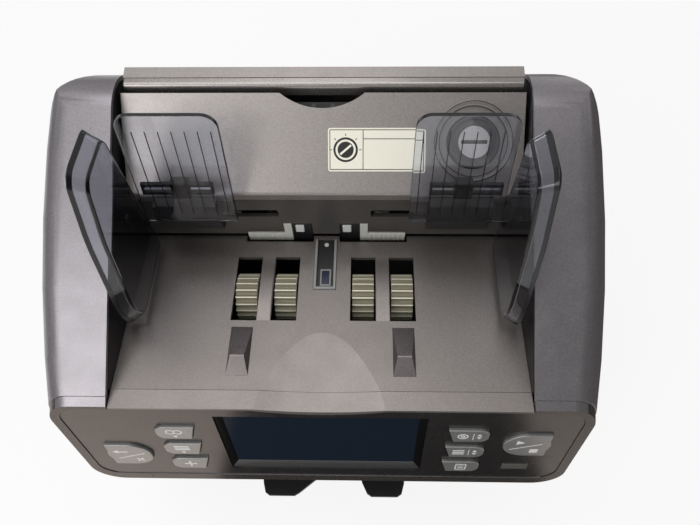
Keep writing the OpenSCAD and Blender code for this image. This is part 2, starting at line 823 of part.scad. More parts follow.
module guide_carriage() {
    color("black") {
        floor_frame() translate([car_x0 - 4, 0, 0]) rotate([90, 0, 90]) linear_extrude(car_x1 - car_x0 + 6)
            polygon([wall_face(16, 0.4), wall_face(41, 0.4), plate_back(41), plate_back(32),
                [floor_len - 9.3, 24], [floor_len - 7, 16]]);
        wall_frame() {
            box(car_x0, car_x1, slot_y0 + 0.7, slot_y0 + slot_h - 0.7, -wall_t - 1, 1);
            box(car_x0 - 1, car_x1 + 1, slot_y0 - 2.6, slot_y0 + slot_h + 2.6, -wall_t - 3.4, -wall_t - 0.4);
        }
    }
}

module left_guide_carriage() {
    mirror([1, 0, 0]) guide_carriage();
}

module right_guide_carriage() {
    guide_carriage();
}

// Rollers, shafts and drive
module ring_at(x, w, p, r_out, r_in) {
    difference() {
        along_x(x - w / 2, x + w / 2, p, r_out);
        along_x(x - w, x + w, p, r_in);
    }
}

module roller_shaft(p, xs, w, r) {
    color("silver") {
        along_x(-pulley_x - pulley_w - 1, shaft_out, p, shaft_r);
        for (x = xs)
            along_x(x - w / 2, x + w / 2, p, r);
    }
}

module pulley(p, d) {
    color("lightgray") difference() {
        union() {
            along_x(-pulley_x - pulley_w, -pulley_x, p, d / 2);
            along_x(-pulley_x - pulley_w, -pulley_x - pulley_w + 1, p, d / 2 + 2.5);
            along_x(-pulley_x - 1, -pulley_x, p, d / 2 + 2.5);
        }
        along_x(-pulley_x - pulley_w - 1, -pulley_x + 1, p, shaft_r + run);
    }
}

module pickup_shaft() {
    roller_shaft(pick_axis, pick_xs, pick_w, hub_r);
}

module pickup_tyres() {
    color("tan") for (x = pick_xs)
        translate([x - pick_w / 2, pick_axis[0], pick_axis[1]]) rotate([90, 0, 90]) linear_extrude(pick_w)
            difference() {
                circle(pick_r);
                circle(hub_r + run);
                for (k = [0 : 17]) rotate(k * 20) translate([pick_r + 0.3, 0]) circle(1.3, $fn = 24);
            }
}

module pickup_pulley() {
    pulley(pick_axis, pulley_feed);
}

module feed_shaft() {
    roller_shaft(feed_axis, pick_xs, pick_w, feed_d / 2 - 5);
}

module feed_tyres() {
    color("dimgray") for (x = pick_xs)
        ring_at(x, pick_w, feed_axis, feed_d / 2, feed_d / 2 - 5 + run);
}

module feed_pulley() {
    pulley(feed_axis, pulley_feed);
}

module retard_shaft() {
    color("silver") along_x(-hop, hop, retard_axis, 3.5);
}

module retard_rollers() {
    color("dimgray") for (x = pick_xs)
        ring_at(x, pick_w, retard_axis, retard_d / 2, 3.5 + run);
}

module stacker_shaft() {
    roller_shaft(stacker_axis, [], 1, 1);
}

module stacker_wheels() {
    r = stacker_d / 2;
    color("dimgray") for (k = [-1, 1])
        translate([k * stacker_x - stacker_w / 2, stacker_axis[0], stacker_axis[1]])
            rotate([90, 0, 90]) linear_extrude(stacker_w) difference() {
                union() {
                    circle(9);
                    for (i = [0 : 9]) rotate(36 * i) intersection() {
                        circle(r);
                        patch(0, r + 2, 0, r);
                        translate([r * 0.54, 0]) difference() {
                            circle(r * 0.54);
                            circle(r * 0.54 - 1.6);
                        }
                    }
                }
                circle(shaft_r + run);
            }
}

module stacker_pulley() {
    pulley(stacker_axis, pulley_stacker);
}

module shaft_bearings() {
    color("silver") for (k = [-1, 1]) for (p = [pick_axis, feed_axis, stacker_axis])
        ring_at(k * (hop + frame_t / 2), frame_t + 3, p, bearing_d / 2, shaft_r + run);
}

module drive_motor() {
    color("gray") difference() {
        union() {
            along_x(-hop, -hop + 52, motor_axis, motor_d / 2);
            along_x(-hop + 52, -hop + 58, motor_axis, motor_d / 4);
            box(-hop + 8, -hop + 44, motor_axis[0] - 12, motor_axis[0] + 12, base_top, motor_axis[1]);
        }
        along_x(-hop - 1, -hop + 14, motor_axis, 3 + run);
    }
}

module motor_pulley() {
    color("lightgray") {
        along_x(-pulley_x - pulley_w, -pulley_x, motor_axis, pulley_motor / 2);
        along_x(-pulley_x - pulley_w, -pulley_x - pulley_w + 1, motor_axis, pulley_motor / 2 + 2.5);
        along_x(-pulley_x - 1, -pulley_x, motor_axis, pulley_motor / 2 + 2.5);
        along_x(-pulley_x, -hop + 12, motor_axis, 3);
    }
}

module belt_loop(g) {
    hull() {
        translate(motor_axis) circle(pulley_motor / 2 + g);
        translate(feed_axis) circle(pulley_feed / 2 + g);
        translate(pick_axis) circle(pulley_feed / 2 + g);
        translate(stacker_axis) circle(pulley_stacker / 2 + g);
    }
}

module drive_belt() {
    color("black") translate([-pulley_x - pulley_w / 2, 0, 0]) across(pulley_w - 2.8) difference() {
        belt_loop(2);
        belt_loop(0.35);
    }
}

module image_sensors() {
    color("black") for (y = [feed_axis[0] - 4, feed_axis[0] + 18])
        box(-hop, hop, y, y + 16, feed_axis[1] - 52, feed_axis[1] - 36);
}

module main_board() {
    x = hop + frame_t + 4;
    y = rear_y - 126;
    tall = half_w - cover_wall - 8 - x;
    color("green") {
        box(x, x + board_t, y, y + 98, base_top + 16, base_top + 100);
        for (p = [[6, 22], [92, 22], [6, 94], [92, 94]])
            along_x(hop + frame_t, x + 0.1, [y + p[0], base_top + p[1]], 3);
        box(x + board_t - 0.1, x + tall * 0.6, y + 20, y + 56, base_top + 40, base_top + 62);
        box(x + board_t - 0.1, x + tall, y + 66, y + 90, base_top + 30, base_top + 80);
    }
}

// Pocket
module pocket_plate() {
    roof = nose[1] + 2.5;
    color("dimgray") difference() {
        across(2 * in_x) polygon([
            [pocket_y, base_top], [pocket_y + 2.5, base_top], [pocket_y + 2.5, roof - 8],
            [pocket_y - 11, roof + 2.5], [nose[0] + 6.6, roof + 2.5], [nose[0] + 6, roof],
            [pocket_y - 12, roof], [pocket_y, roof - 9]]);
        for (k = [-1, 1])
            box(k * stacker_x - stacker_w / 2 - 2, k * stacker_x + stacker_w / 2 + 2, pocket_y - 2, pocket_y + 4,
                stacker_axis[1] - stacker_d / 2 - 2, stacker_axis[1] + stacker_d / 2 + 2);
    }
}

tray_a = [pocket_y - gap, base_top + 18];
tray_tilt = 12.7;
tray_len = 48;

module receiving_tray() {
    f = tray_a + tray_len * [-cos(tray_tilt), sin(tray_tilt)];
    d = 2.5 * [-sin(tray_tilt), -cos(tray_tilt)];
    tip = (f[0] + rear_y) / cos(tray_tilt) - 2.5 * tan(tray_tilt);
    color("black") {
        across(2 * in_x) {
            polygon([tray_a, tray_a + d * 0.9, f + d, f]);
            patch(lower_y + 4, lower_y + 6.5, base_top, tray_a[1] + (tray_a[0] - lower_y - 4) * tan(tray_tilt) - 1.5);
        }
        translate([0, f[0], f[1]]) rotate([-tray_tilt, 0, 0]) translate([0, 0, -2.5]) linear_extrude(2.5) {
            polygon([[-48.8, 2], [-48.3, -tip + 9], [-46.4, -tip + 2], [-43.5, -tip], [-26, -tip],
                [-22.6, -tip + 2], [-11.5, -tip + 11], [-10, 2]]);
            polygon([[51, 2], [50.5, -tip + 9], [48.6, -tip + 2], [45.5, -tip], [27.5, -tip],
                [24.6, -tip + 2], [20.8, -tip + 10], [20.4, 2]]);
        }
    }
}

// Rear
module rear_door() {
    zb = knee_z + 4.5;
    y1 = rail_y + rail_d + gap / 2;
    color("gray") difference() {
        union() {
            across(2 * cover_x) polygon([[slant(zb, 0.4), zb], [slant(rail_z, 0.4), rail_z], [y1, rail_z],
                [y1, rail_z - 10], [y1 + 2.5, rail_z - 10], [y1 + 2.5, rail_z - 3],
                [slant(rail_z - 3, 3.4), rail_z - 3], [slant(zb, 3.4), zb]]);
            for (k = [-1, 1])
                translate([k * (cover_x - 1.25), 0, 0]) across(2.5) polygon([
                    [slant(zb + 8, 1), zb + 8], [slant(rail_z - 1, 1), rail_z - 1], [y1 + 1, rail_z - 1],
                    [y1 + 1, rail_z - 10], [slant(rail_z - 30, 13), rail_z - 30], [slant(zb + 24, 13), zb + 24]]);
            for (x = [-80, 0, 80])
                along_x(x - 12, x + 12, hinge, 5.6);
        }
        along_x(-hop, hop, hinge, 3 + run);
    }
}

module door_rail() {
    r = 2.7;
    color("gray") across(2 * cover_x - 1) {
        polygon([[rail_y, rail_z - 8], [rail_y + rail_d, rail_z - 8], [rail_y + rail_d, rail_z],
            [rail_y + r, rail_z], [rail_y, rail_z - r]]);
        translate([rail_y + r, rail_z - r]) circle(r);
    }
}

module hinge_rod() {
    color("silver") along_x(-hop, hop, hinge, 3);
}

back_y = rear_y - 5;
inlet_x = -66;
inlet_z = base_top + 28;
rocker_x = inlet_x + 24;

module rear_panel() {
    color("gray") difference() {
        box(-in_x, in_x, back_y - 2.5, back_y, base_top, knee_z - 1);
        box(inlet_x - 15 - gap, rocker_x + 9.5 + gap, back_y - 4, back_y + 1, inlet_z - 10.4 - gap, inlet_z + 10.4 + gap);
        for (k = [0 : 7])
            box(10 + 11 * k, 14 + 11 * k, back_y - 4, back_y + 1, base_top + 20, base_top + 62);
    }
}

module power_inlet() {
    color("black") difference() {
        union() {
            box(inlet_x - 18, rocker_x + 12.5, back_y, back_y + 2, inlet_z - 13.5, inlet_z + 13.5);
            box(inlet_x - 15, rocker_x + 9.5, back_y - 20, back_y + 0.1, inlet_z - 10.4, inlet_z + 10.4);
        }
        difference() {
            box(inlet_x - 12.2, inlet_x + 12.2, back_y - 14, back_y + 3, inlet_z - 8.2, inlet_z + 8.2);
            for (p = [[-7, -1.5], [0, 2.5], [7, -1.5]])
                box(inlet_x + p[0] - 1, inlet_x + p[0] + 1, back_y - 15, back_y - 4,
                    inlet_z + p[1] - 2, inlet_z + p[1] + 2);
        }
        box(rocker_x - 6.7, rocker_x + 6.7, back_y - 12, back_y + 3, inlet_z - 9, inlet_z + 9);
        along_x(rocker_x - 8.2, rocker_x + 8.2, [back_y - 1, inlet_z], 1.5 + run);
    }
}

module power_switch() {
    color("black") translate([rocker_x, back_y - 1, inlet_z]) rotate([-7, 0, 0]) {
        across(12.8) polygon([[-4, -5], [0, -8], [2.5, -8.1], [1, 0], [2.5, 8.1], [0, 8], [-4, 5]]);
        along_x(-7.9, 7.9, [0, 0], 1.5);
    }
}

base_pan();
rubber_feet();
case_screws();
left_side_cover();
right_side_cover();
left_frame_plate();
right_frame_plate();
front_bezel();
control_panel();
display_glass();
status_lens();
key_board();
currency_key();
batch_key();
add_key();
mode_key();
menu_key();
report_key();
back_key();
start_key();
hopper_front_lip();
hopper_floor();
lift_ramps();
sensor_frame();
hopper_sensor();
hopper_back_wall();
wear_strips();
edge_sensors();
feed_cover();
pull_cup();
adjust_knob();
left_note_guide();
right_note_guide();
left_guide_carriage();
right_guide_carriage();
pickup_shaft();
pickup_tyres();
pickup_pulley();
feed_shaft();
feed_tyres();
feed_pulley();
retard_shaft();
retard_rollers();
stacker_shaft();
stacker_wheels();
stacker_pulley();
shaft_bearings();
drive_motor();
motor_pulley();
drive_belt();
image_sensors();
main_board();
pocket_plate();
receiving_tray();
rear_door();
door_rail();
hinge_rod();
rear_panel();
power_inlet();
power_switch();
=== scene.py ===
import math
import bmesh
import bpy
from mathutils import Matrix, Vector


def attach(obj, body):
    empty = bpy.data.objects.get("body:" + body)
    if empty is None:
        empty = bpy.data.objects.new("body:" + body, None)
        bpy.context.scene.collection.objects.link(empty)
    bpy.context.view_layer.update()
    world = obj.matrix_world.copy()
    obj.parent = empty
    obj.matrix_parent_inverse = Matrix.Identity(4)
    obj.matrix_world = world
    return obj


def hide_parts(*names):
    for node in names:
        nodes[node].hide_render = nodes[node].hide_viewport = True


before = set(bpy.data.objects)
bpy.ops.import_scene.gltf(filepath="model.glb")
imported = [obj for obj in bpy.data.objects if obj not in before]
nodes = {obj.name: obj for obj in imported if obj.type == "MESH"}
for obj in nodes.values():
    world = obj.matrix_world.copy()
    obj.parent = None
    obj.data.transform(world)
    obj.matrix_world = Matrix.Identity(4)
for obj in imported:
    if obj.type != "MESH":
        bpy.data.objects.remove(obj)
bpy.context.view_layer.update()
mm = 0.001
print("frame loaded:", len(nodes), "nodes")

# sloping faces of the machine, where they start and how far they are turned about X
slopes = {
    "panel": {"at": (0, -78.606, 195.0), "turn": 72.2},
    "floor": {"at": (0, -68.888, 193.111), "turn": -13.0},
    "wall": {"at": (0, 25.139, 171.403), "turn": 81.5},
    "cover": {"at": (0, 31.273, 212.447), "turn": 32.4},
    "rear": {"at": (0, 111.0, 0), "turn": 90.0},
}


def slopeFrame(name):
    s = slopes[name]
    move = Matrix.Translation(Vector(s["at"]) * mm)
    return move @ Matrix.Rotation(math.radians(s["turn"]), 4, "X") @ Matrix.Scale(mm, 4)


def tone(r, g, b):
    # screen colour 0-255 to the linear colour of a shader
    lin = [c / 255 / 12.92 if c < 10.3 else ((c / 255 + 0.055) / 1.055) ** 2.4 for c in (r, g, b)]
    return (lin[0], lin[1], lin[2], 1.0)


# camera as fitted to the picture
cameraSet = {
    "at": (22.58, -124.25, 518.15), "down": 69.0, "yaw": -3.778, "roll": -3.271,
    "focalPixels": 645.0, "imageWidth": 700.0, "sensor": 36.0,
}


def placeCamera():
    down = math.radians(cameraSet["down"])
    yaw = math.radians(cameraSet["yaw"])
    roll = math.radians(cameraSet["roll"])
    look = Vector((math.sin(yaw) * math.cos(down), math.cos(yaw) * math.cos(down), -math.sin(down)))
    side = Vector((math.cos(yaw), -math.sin(yaw), 0))
    up = side.cross(look)
    side2 = side * math.cos(roll) + up * math.sin(roll)
    up2 = up * math.cos(roll) - side * math.sin(roll)
    data = bpy.data.cameras.new("viewCamera")
    data.sensor_width = cameraSet["sensor"]
    data.lens = cameraSet["sensor"] * cameraSet["focalPixels"] / cameraSet["imageWidth"]
    data.clip_start = 0.01
    cam = bpy.data.objects.new("viewCamera", data)
    rows = Matrix((side2, up2, -look)).transposed().to_4x4()
    cam.matrix_world = Matrix.Translation(Vector(cameraSet["at"]) * mm) @ rows
    bpy.context.scene.collection.objects.link(cam)
    bpy.context.scene.camera = cam


placeCamera()
bpy.context.scene.view_settings.view_transform = "Standard"
print("camera placed")

# studio: white round the horizon, a softer ceiling with a bright and a shaded side
studioSet = {
    "ambient": 0.45, "ambientTint": (1, 0.985, 0.97, 1), "ceiling": 0.5, "horizon": (0.12, 0.45),
    "floorTone": (246, 246, 246), "floorSize": 8.0, "floorGlow": 0.85, "paperRough": 0.9,
}
skySet = [
    {"towards": (-0.42, -0.44, 0.79), "from": 0.88, "to": 0.99, "gain": 0.55},
    {"towards": (0.60, -0.50, 0.62), "from": 0.72, "to": 0.96, "gain": -0.44},
    {"towards": (0.0, 0.64, 0.77), "from": 0.70, "to": 0.96, "gain": 0.08},
    {"towards": (-0.10, -0.61, 0.79), "from": 0.86, "to": 0.99, "gain": 0.2},
]
lampSet = [
    {"name": "keyLamp", "at": (-0.20, 0.38, 1.45), "aim": (0, 0, 0.15), "size": 1.0, "watts": 6.0},
    {"name": "sheenLamp", "at": (-0.66, -0.62, 1.2), "aim": (0, 0, 0.2), "size": 0.62, "watts": 3.0},
    {"name": "frontLamp", "at": (-0.30, -0.44, 0.38), "aim": (-0.08, -0.06, 0.16), "size": 0.2,
     "watts": 0.58, "mirrored": False},
]
# cards on the table and round it, met by reflections only
cardSet = [
    {"name": "frontCard", "at": (-0.094, -0.42, 0.002),
     "across": (0.259, 0, 0), "up": (0, 0.28, 0), "tone": (34, 34, 36)},
    {"name": "warmCard", "at": (-0.6, -0.42, 0.0015),
     "across": (0.765, 0, 0), "up": (0, 0.28, 0), "tone": (246, 230, 219)},
    {"name": "dimCard", "at": (0.165, -0.42, 0.0015),
     "across": (0.435, 0, 0), "up": (0, 0.28, 0), "tone": (228, 215, 207)},
    {"name": "leftCard", "at": (-0.8, -0.7, 0),
     "across": (0, 1.4, 0), "up": (0, 0, 0.45), "tone": (176, 176, 180)},
    {"name": "rightCard", "at": (1.4, -0.9, 0),
     "across": (0, 1.8, 0), "up": (0, 0, 0.9), "tone": (96, 92, 92)},
    {"name": "shadeCard", "at": (0.2, -0.9, 0.001),
     "across": (1.2, 0, 0), "up": (0, 1.8, 0), "tone": (96, 92, 92)},
    {"name": "rearCard", "at": (-1.4, 1.5, 0),
     "across": (1.8, 0, 0), "up": (0, 0, 0.7), "tone": (206, 206, 206)},
]


def mathNode(group, operation, a, b):
    node = group.nodes.new("ShaderNodeMath")
    node.operation = operation
    for k, v in enumerate((a, b)):
        if isinstance(v, (int, float)):
            node.inputs[k].default_value = v
        else:
            group.links.new(v, node.inputs[k])
    return node.outputs[0]


def skyGlow(tree):
    # strength of the studio in each direction
    way = tree.nodes.new("ShaderNodeTexCoord").outputs["Generated"]
    split = tree.nodes.new("ShaderNodeSeparateXYZ")
    tree.links.new(way, split.inputs[0])
    rise = tree.nodes.new("ShaderNodeMapRange")
    rise.interpolation_type = "SMOOTHSTEP"
    rise.inputs["From Min"].default_value = studioSet["horizon"][0]
    rise.inputs["From Max"].default_value = studioSet["horizon"][1]
    tree.links.new(split.outputs["Z"], rise.inputs["Value"])
    total = tree.nodes.new("ShaderNodeValue")
    total.outputs[0].default_value = studioSet["ceiling"] - 1.0
    change = total.outputs[0]
    for patch in skySet:
        near = tree.nodes.new("ShaderNodeVectorMath")
        near.operation = "DOT_PRODUCT"
        near.inputs[1].default_value = Vector(patch["towards"]).normalized()
        tree.links.new(way, near.inputs[0])
        ramp = tree.nodes.new("ShaderNodeMapRange")
        ramp.interpolation_type = "SMOOTHSTEP"
        ramp.inputs["From Min"].default_value = patch["from"]
        ramp.inputs["From Max"].default_value = patch["to"]
        ramp.inputs["To Max"].default_value = patch["gain"]
        tree.links.new(near.outputs["Value"], ramp.inputs["Value"])
        change = mathNode(tree, "ADD", change, ramp.outputs["Result"])
    return mathNode(tree, "ADD", mathNode(tree, "MULTIPLY", change, rise.outputs["Result"]), 1.0)


def seenRays(tree):
    # 1 for rays that show the studio: from the eye, mirrored or through a clear piece
    path = tree.nodes.new("ShaderNodeLightPath")
    mirrored = mathNode(tree, "MAXIMUM", path.outputs["Is Camera Ray"], path.outputs["Is Glossy Ray"])
    return mathNode(tree, "MAXIMUM", mirrored, path.outputs["Is Transmission Ray"])


def layCard(card):
    bm = bmesh.new()
    at, across, up = (Vector(card[k]) for k in ("at", "across", "up"))
    bm.faces.new([bm.verts.new(c) for c in (at, at + across, at + across + up, at + up)])
    mesh = bpy.data.meshes.new(card["name"])
    bm.to_mesh(mesh)
    bm.free()
    mat = bpy.data.materials.new(card["name"])
    mat.use_nodes = True
    shader = mat.node_tree.nodes["Principled BSDF"]
    shader.inputs["Base Color"].default_value = tone(*card["tone"])
    shader.inputs["Roughness"].default_value = studioSet["paperRough"]
    mesh.materials.append(mat)
    obj = bpy.data.objects.new(card["name"], mesh)
    bpy.context.scene.collection.objects.link(obj)
    obj.visible_camera = False
    obj.visible_diffuse = False
    obj.visible_transmission = False
    obj.visible_shadow = False


def buildStudio():
    world = bpy.data.worlds.new("studioWorld")
    bpy.context.scene.world = world
    world.use_nodes = True
    tree = world.node_tree
    tree.nodes.clear()
    shown = tree.nodes.new("ShaderNodeBackground")
    shown.inputs["Color"].default_value = (1, 1, 1, 1)
    lit = tree.nodes.new("ShaderNodeBackground")
    lit.inputs["Color"].default_value = studioSet["ambientTint"]
    lit.inputs["Strength"].default_value = studioSet["ambient"]
    mix = tree.nodes.new("ShaderNodeMixShader")
    out = tree.nodes.new("ShaderNodeOutputWorld")
    link = tree.links.new
    link(skyGlow(tree), shown.inputs["Strength"])
    link(seenRays(tree), mix.inputs[0])
    link(lit.outputs[0], mix.inputs[1])
    link(shown.outputs[0], mix.inputs[2])
    link(mix.outputs[0], out.inputs["Surface"])
    bm = bmesh.new()
    bmesh.ops.create_grid(bm, x_segments=2, y_segments=2, size=studioSet["floorSize"] / 2)
    mesh = bpy.data.meshes.new("studioFloor")
    bm.to_mesh(mesh)
    bm.free()
    floor = bpy.data.objects.new("studioFloor", mesh)
    bpy.context.scene.collection.objects.link(floor)
    mat = bpy.data.materials.new("studioPaper")
    mat.use_nodes = True
    shader = mat.node_tree.nodes["Principled BSDF"]
    shader.inputs["Base Color"].default_value = tone(*studioSet["floorTone"])
    shader.inputs["Roughness"].default_value = studioSet["paperRough"]
    glow = mat.node_tree.nodes.new("ShaderNodeEmission")
    blend = mat.node_tree.nodes.new("ShaderNodeMixShader")
    paper = mat.node_tree.links.new
    glowShare = mathNode(mat.node_tree, "MULTIPLY", seenRays(mat.node_tree), studioSet["floorGlow"])
    paper(glowShare, blend.inputs[0])
    paper(shader.outputs[0], blend.inputs[1])
    paper(glow.outputs[0], blend.inputs[2])
    paper(blend.outputs[0], mat.node_tree.nodes["Material Output"].inputs["Surface"])
    mesh.materials.append(mat)
    for card in cardSet:
        layCard(card)
    for lamp in lampSet:
        data = bpy.data.lights.new(lamp["name"], "AREA")
        data.size = lamp["size"]
        data.energy = lamp["watts"]
        obj = bpy.data.objects.new(lamp["name"], data)
        at = Vector(lamp["at"])
        turn = (Vector(lamp["aim"]) - at).to_track_quat("-Z", "Y").to_matrix().to_4x4()
        obj.matrix_world = Matrix.Translation(at) @ turn
        obj.visible_glossy = lamp.get("mirrored", True)
        obj.visible_transmission = lamp.get("mirrored", True)
        obj.visible_camera = False
        bpy.context.scene.collection.objects.link(obj)


buildStudio()
print("studio built")


# shared surface effects as node groups
flakeSet = {"cloudSize": 14.0, "hazeSize": 90.0, "hazeGain": 0.16, "flakeRough": 0.25, "peelSize": 900.0}
grainSet = {"markSize": 35.0}
dustSet = {"tone": (176, 170, 160), "patchSize": 60.0}


def newGroup(name, inputs, outputs):
    group = bpy.data.node_groups.new(name, "ShaderNodeTree")
    for label, kind, value in inputs:
        socket = group.interface.new_socket(name=label, in_out="INPUT", socket_type=kind)
        socket.default_value = value
    for label, kind in outputs:
        group.interface.new_socket(name=label, in_out="OUTPUT", socket_type=kind)
    source = group.nodes.new("NodeGroupInput")
    sink = group.nodes.new("NodeGroupOutput")
    return group, source, sink


def noiseNode(group, where, scale, detail):
    node = group.nodes.new("ShaderNodeTexNoise")
    node.inputs["Detail"].default_value = detail
    group.links.new(where, node.inputs["Vector"])
    if isinstance(scale, (int, float)):
        node.inputs["Scale"].default_value = scale
    else:
        group.links.new(scale, node.inputs["Scale"])
    return node.outputs["Fac"]


def scaledColour(group, colour, factor):
    node = group.nodes.new("ShaderNodeVectorMath")
    node.operation = "SCALE"
    group.links.new(colour, node.inputs[0])
    group.links.new(factor, node.inputs["Scale"])
    return node.outputs[0]


def buildFlakePaint():
    # metallic lacquer: fine bright flakes, slow cloudiness, slight orange peel
    group, source, sink = newGroup(
        "flakePaint",
        [("Tone", "NodeSocketColor", (0.2, 0.2, 0.2, 1)), ("Flake", "NodeSocketFloat", 0.2),
         ("Flake Size", "NodeSocketFloat", 2400.0), ("Cloud", "NodeSocketFloat", 0.08),
         ("Rough", "NodeSocketFloat", 0.4)],
        [("Color", "NodeSocketColor"), ("Roughness", "NodeSocketFloat"), ("Height", "NodeSocketFloat")])
    where = group.nodes.new("ShaderNodeTexCoord").outputs["Object"]
    cells = group.nodes.new("ShaderNodeTexVoronoi")
    group.links.new(where, cells.inputs["Vector"])
    group.links.new(source.outputs["Flake Size"], cells.inputs["Scale"])
    split = group.nodes.new("ShaderNodeSeparateColor")
    group.links.new(cells.outputs["Color"], split.inputs[0])
    sparkle = mathNode(group, "SUBTRACT", split.outputs[0], 0.5)
    flake = mathNode(group, "MULTIPLY", sparkle, source.outputs["Flake"])
    slow = noiseNode(group, where, flakeSet["cloudSize"], 3.0)
    cloud = mathNode(group, "MULTIPLY", mathNode(group, "SUBTRACT", slow, 0.5), source.outputs["Cloud"])
    gain = mathNode(group, "ADD", mathNode(group, "ADD", flake, cloud), 1.0)
    group.links.new(scaledColour(group, source.outputs["Tone"], gain), sink.inputs["Color"])
    haze = mathNode(group, "SUBTRACT", noiseNode(group, where, flakeSet["hazeSize"], 4.0), 0.5)
    haze = mathNode(group, "MULTIPLY", haze, flakeSet["hazeGain"])
    rough = mathNode(group, "ADD", haze, source.outputs["Rough"])
    rough = mathNode(group, "ADD", rough, mathNode(group, "MULTIPLY", flake, flakeSet["flakeRough"]))
    group.links.new(rough, sink.inputs["Roughness"])
    peel = noiseNode(group, where, flakeSet["peelSize"], 2.0)
    group.links.new(peel, sink.inputs["Height"])
    return group


def buildMouldGrain():
    # moulded plastic: fine eroded grain and faint handling marks
    group, source, sink = newGroup(
        "mouldGrain",
        [("Tone", "NodeSocketColor", (0.02, 0.02, 0.02, 1)), ("Grain Size", "NodeSocketFloat", 1500.0),
         ("Contrast", "NodeSocketFloat", 0.25), ("Rough", "NodeSocketFloat", 0.5),
         ("Marks", "NodeSocketFloat", 0.12)],
        [("Color", "NodeSocketColor"), ("Roughness", "NodeSocketFloat"), ("Height", "NodeSocketFloat")])
    where = group.nodes.new("ShaderNodeTexCoord").outputs["Object"]
    grain = noiseNode(group, where, source.outputs["Grain Size"], 3.0)
    marks = noiseNode(group, where, grainSet["markSize"], 6.0)
    shade = mathNode(group, "SUBTRACT", grain, 0.5)
    shade = mathNode(group, "MULTIPLY", shade, source.outputs["Contrast"])
    gain = mathNode(group, "ADD", shade, 1.0)
    group.links.new(scaledColour(group, source.outputs["Tone"], gain), sink.inputs["Color"])
    worn = mathNode(group, "MULTIPLY", mathNode(group, "SUBTRACT", marks, 0.5), source.outputs["Marks"])
    group.links.new(mathNode(group, "ADD", worn, source.outputs["Rough"]), sink.inputs["Roughness"])
    group.links.new(grain, sink.inputs["Height"])
    return group


def buildDustVeil():
    # pale dust that settles on faces that look up
    group, source, sink = newGroup(
        "dustVeil",
        [("Color", "NodeSocketColor", (0.2, 0.2, 0.2, 1)), ("Amount", "NodeSocketFloat", 0.1),
         ("Dust", "NodeSocketColor", tone(*dustSet["tone"]))],
        [("Color", "NodeSocketColor")])
    where = group.nodes.new("ShaderNodeTexCoord").outputs["Object"]
    facing = group.nodes.new("ShaderNodeNewGeometry").outputs["Normal"]
    split = group.nodes.new("ShaderNodeSeparateXYZ")
    group.links.new(facing, split.inputs[0])
    upward = mathNode(group, "MAXIMUM", split.outputs["Z"], 0.0)
    patches = noiseNode(group, where, dustSet["patchSize"], 5.0)
    settled = mathNode(group, "MULTIPLY", upward, patches)
    mask = mathNode(group, "MULTIPLY", settled, source.outputs["Amount"])
    mix = group.nodes.new("ShaderNodeMix")
    mix.data_type = "RGBA"
    group.links.new(mask, mix.inputs["Factor"])
    group.links.new(source.outputs["Color"], mix.inputs[6])
    group.links.new(source.outputs["Dust"], mix.inputs[7])
    group.links.new(mix.outputs[2], sink.inputs["Color"])
    return group


flakePaint = buildFlakePaint()
mouldGrain = buildMouldGrain()
dustVeil = buildDustVeil()


# what a finish has unless its own line says otherwise
plainLook = {
    "flakeSize": 2400.0, "cloud": 0.08, "grainSize": 1500.0, "contrast": 0.25, "marks": 0.12,
    "dust": 0.0, "bump": 0.08, "bumpReach": 0.0002, "metal": 0.0, "coat": 0.0, "coatRough": 0.2,
    "ior": 1.5, "spec": 0.5, "clear": 0.0,
}


def makeFinish(name, ownLook):
    look = {**plainLook, **ownLook}
    mat = bpy.data.materials.new(name)
    mat.use_nodes = True
    tree = mat.node_tree
    shader = tree.nodes["Principled BSDF"]
    body = tree.nodes.new("ShaderNodeGroup")
    painted = "flake" in look
    body.node_tree = flakePaint if painted else mouldGrain
    body.inputs["Tone"].default_value = tone(*look["tone"])
    body.inputs["Rough"].default_value = look["rough"]
    if painted:
        body.inputs["Flake"].default_value = look["flake"]
        body.inputs["Flake Size"].default_value = look["flakeSize"]
        body.inputs["Cloud"].default_value = look["cloud"]
    else:
        body.inputs["Grain Size"].default_value = look["grainSize"]
        body.inputs["Contrast"].default_value = look["contrast"]
        body.inputs["Marks"].default_value = look["marks"]
    colour = body.outputs["Color"]
    if look["dust"] > 0:
        veil = tree.nodes.new("ShaderNodeGroup")
        veil.node_tree = dustVeil
        veil.inputs["Amount"].default_value = look["dust"]
        tree.links.new(colour, veil.inputs["Color"])
        colour = veil.outputs["Color"]
    tree.links.new(colour, shader.inputs["Base Color"])
    tree.links.new(body.outputs["Roughness"], shader.inputs["Roughness"])
    bump = tree.nodes.new("ShaderNodeBump")
    bump.inputs["Strength"].default_value = look["bump"]
    bump.inputs["Distance"].default_value = look["bumpReach"]
    tree.links.new(body.outputs["Height"], bump.inputs["Height"])
    tree.links.new(bump.outputs["Normal"], shader.inputs["Normal"])
    shader.inputs["Metallic"].default_value = look["metal"]
    shader.inputs["Coat Weight"].default_value = look["coat"]
    shader.inputs["Coat Roughness"].default_value = look["coatRough"]
    shader.inputs["IOR"].default_value = look["ior"]
    shader.inputs["Specular IOR Level"].default_value = look["spec"]
    shader.inputs["Transmission Weight"].default_value = look["clear"]
    return mat


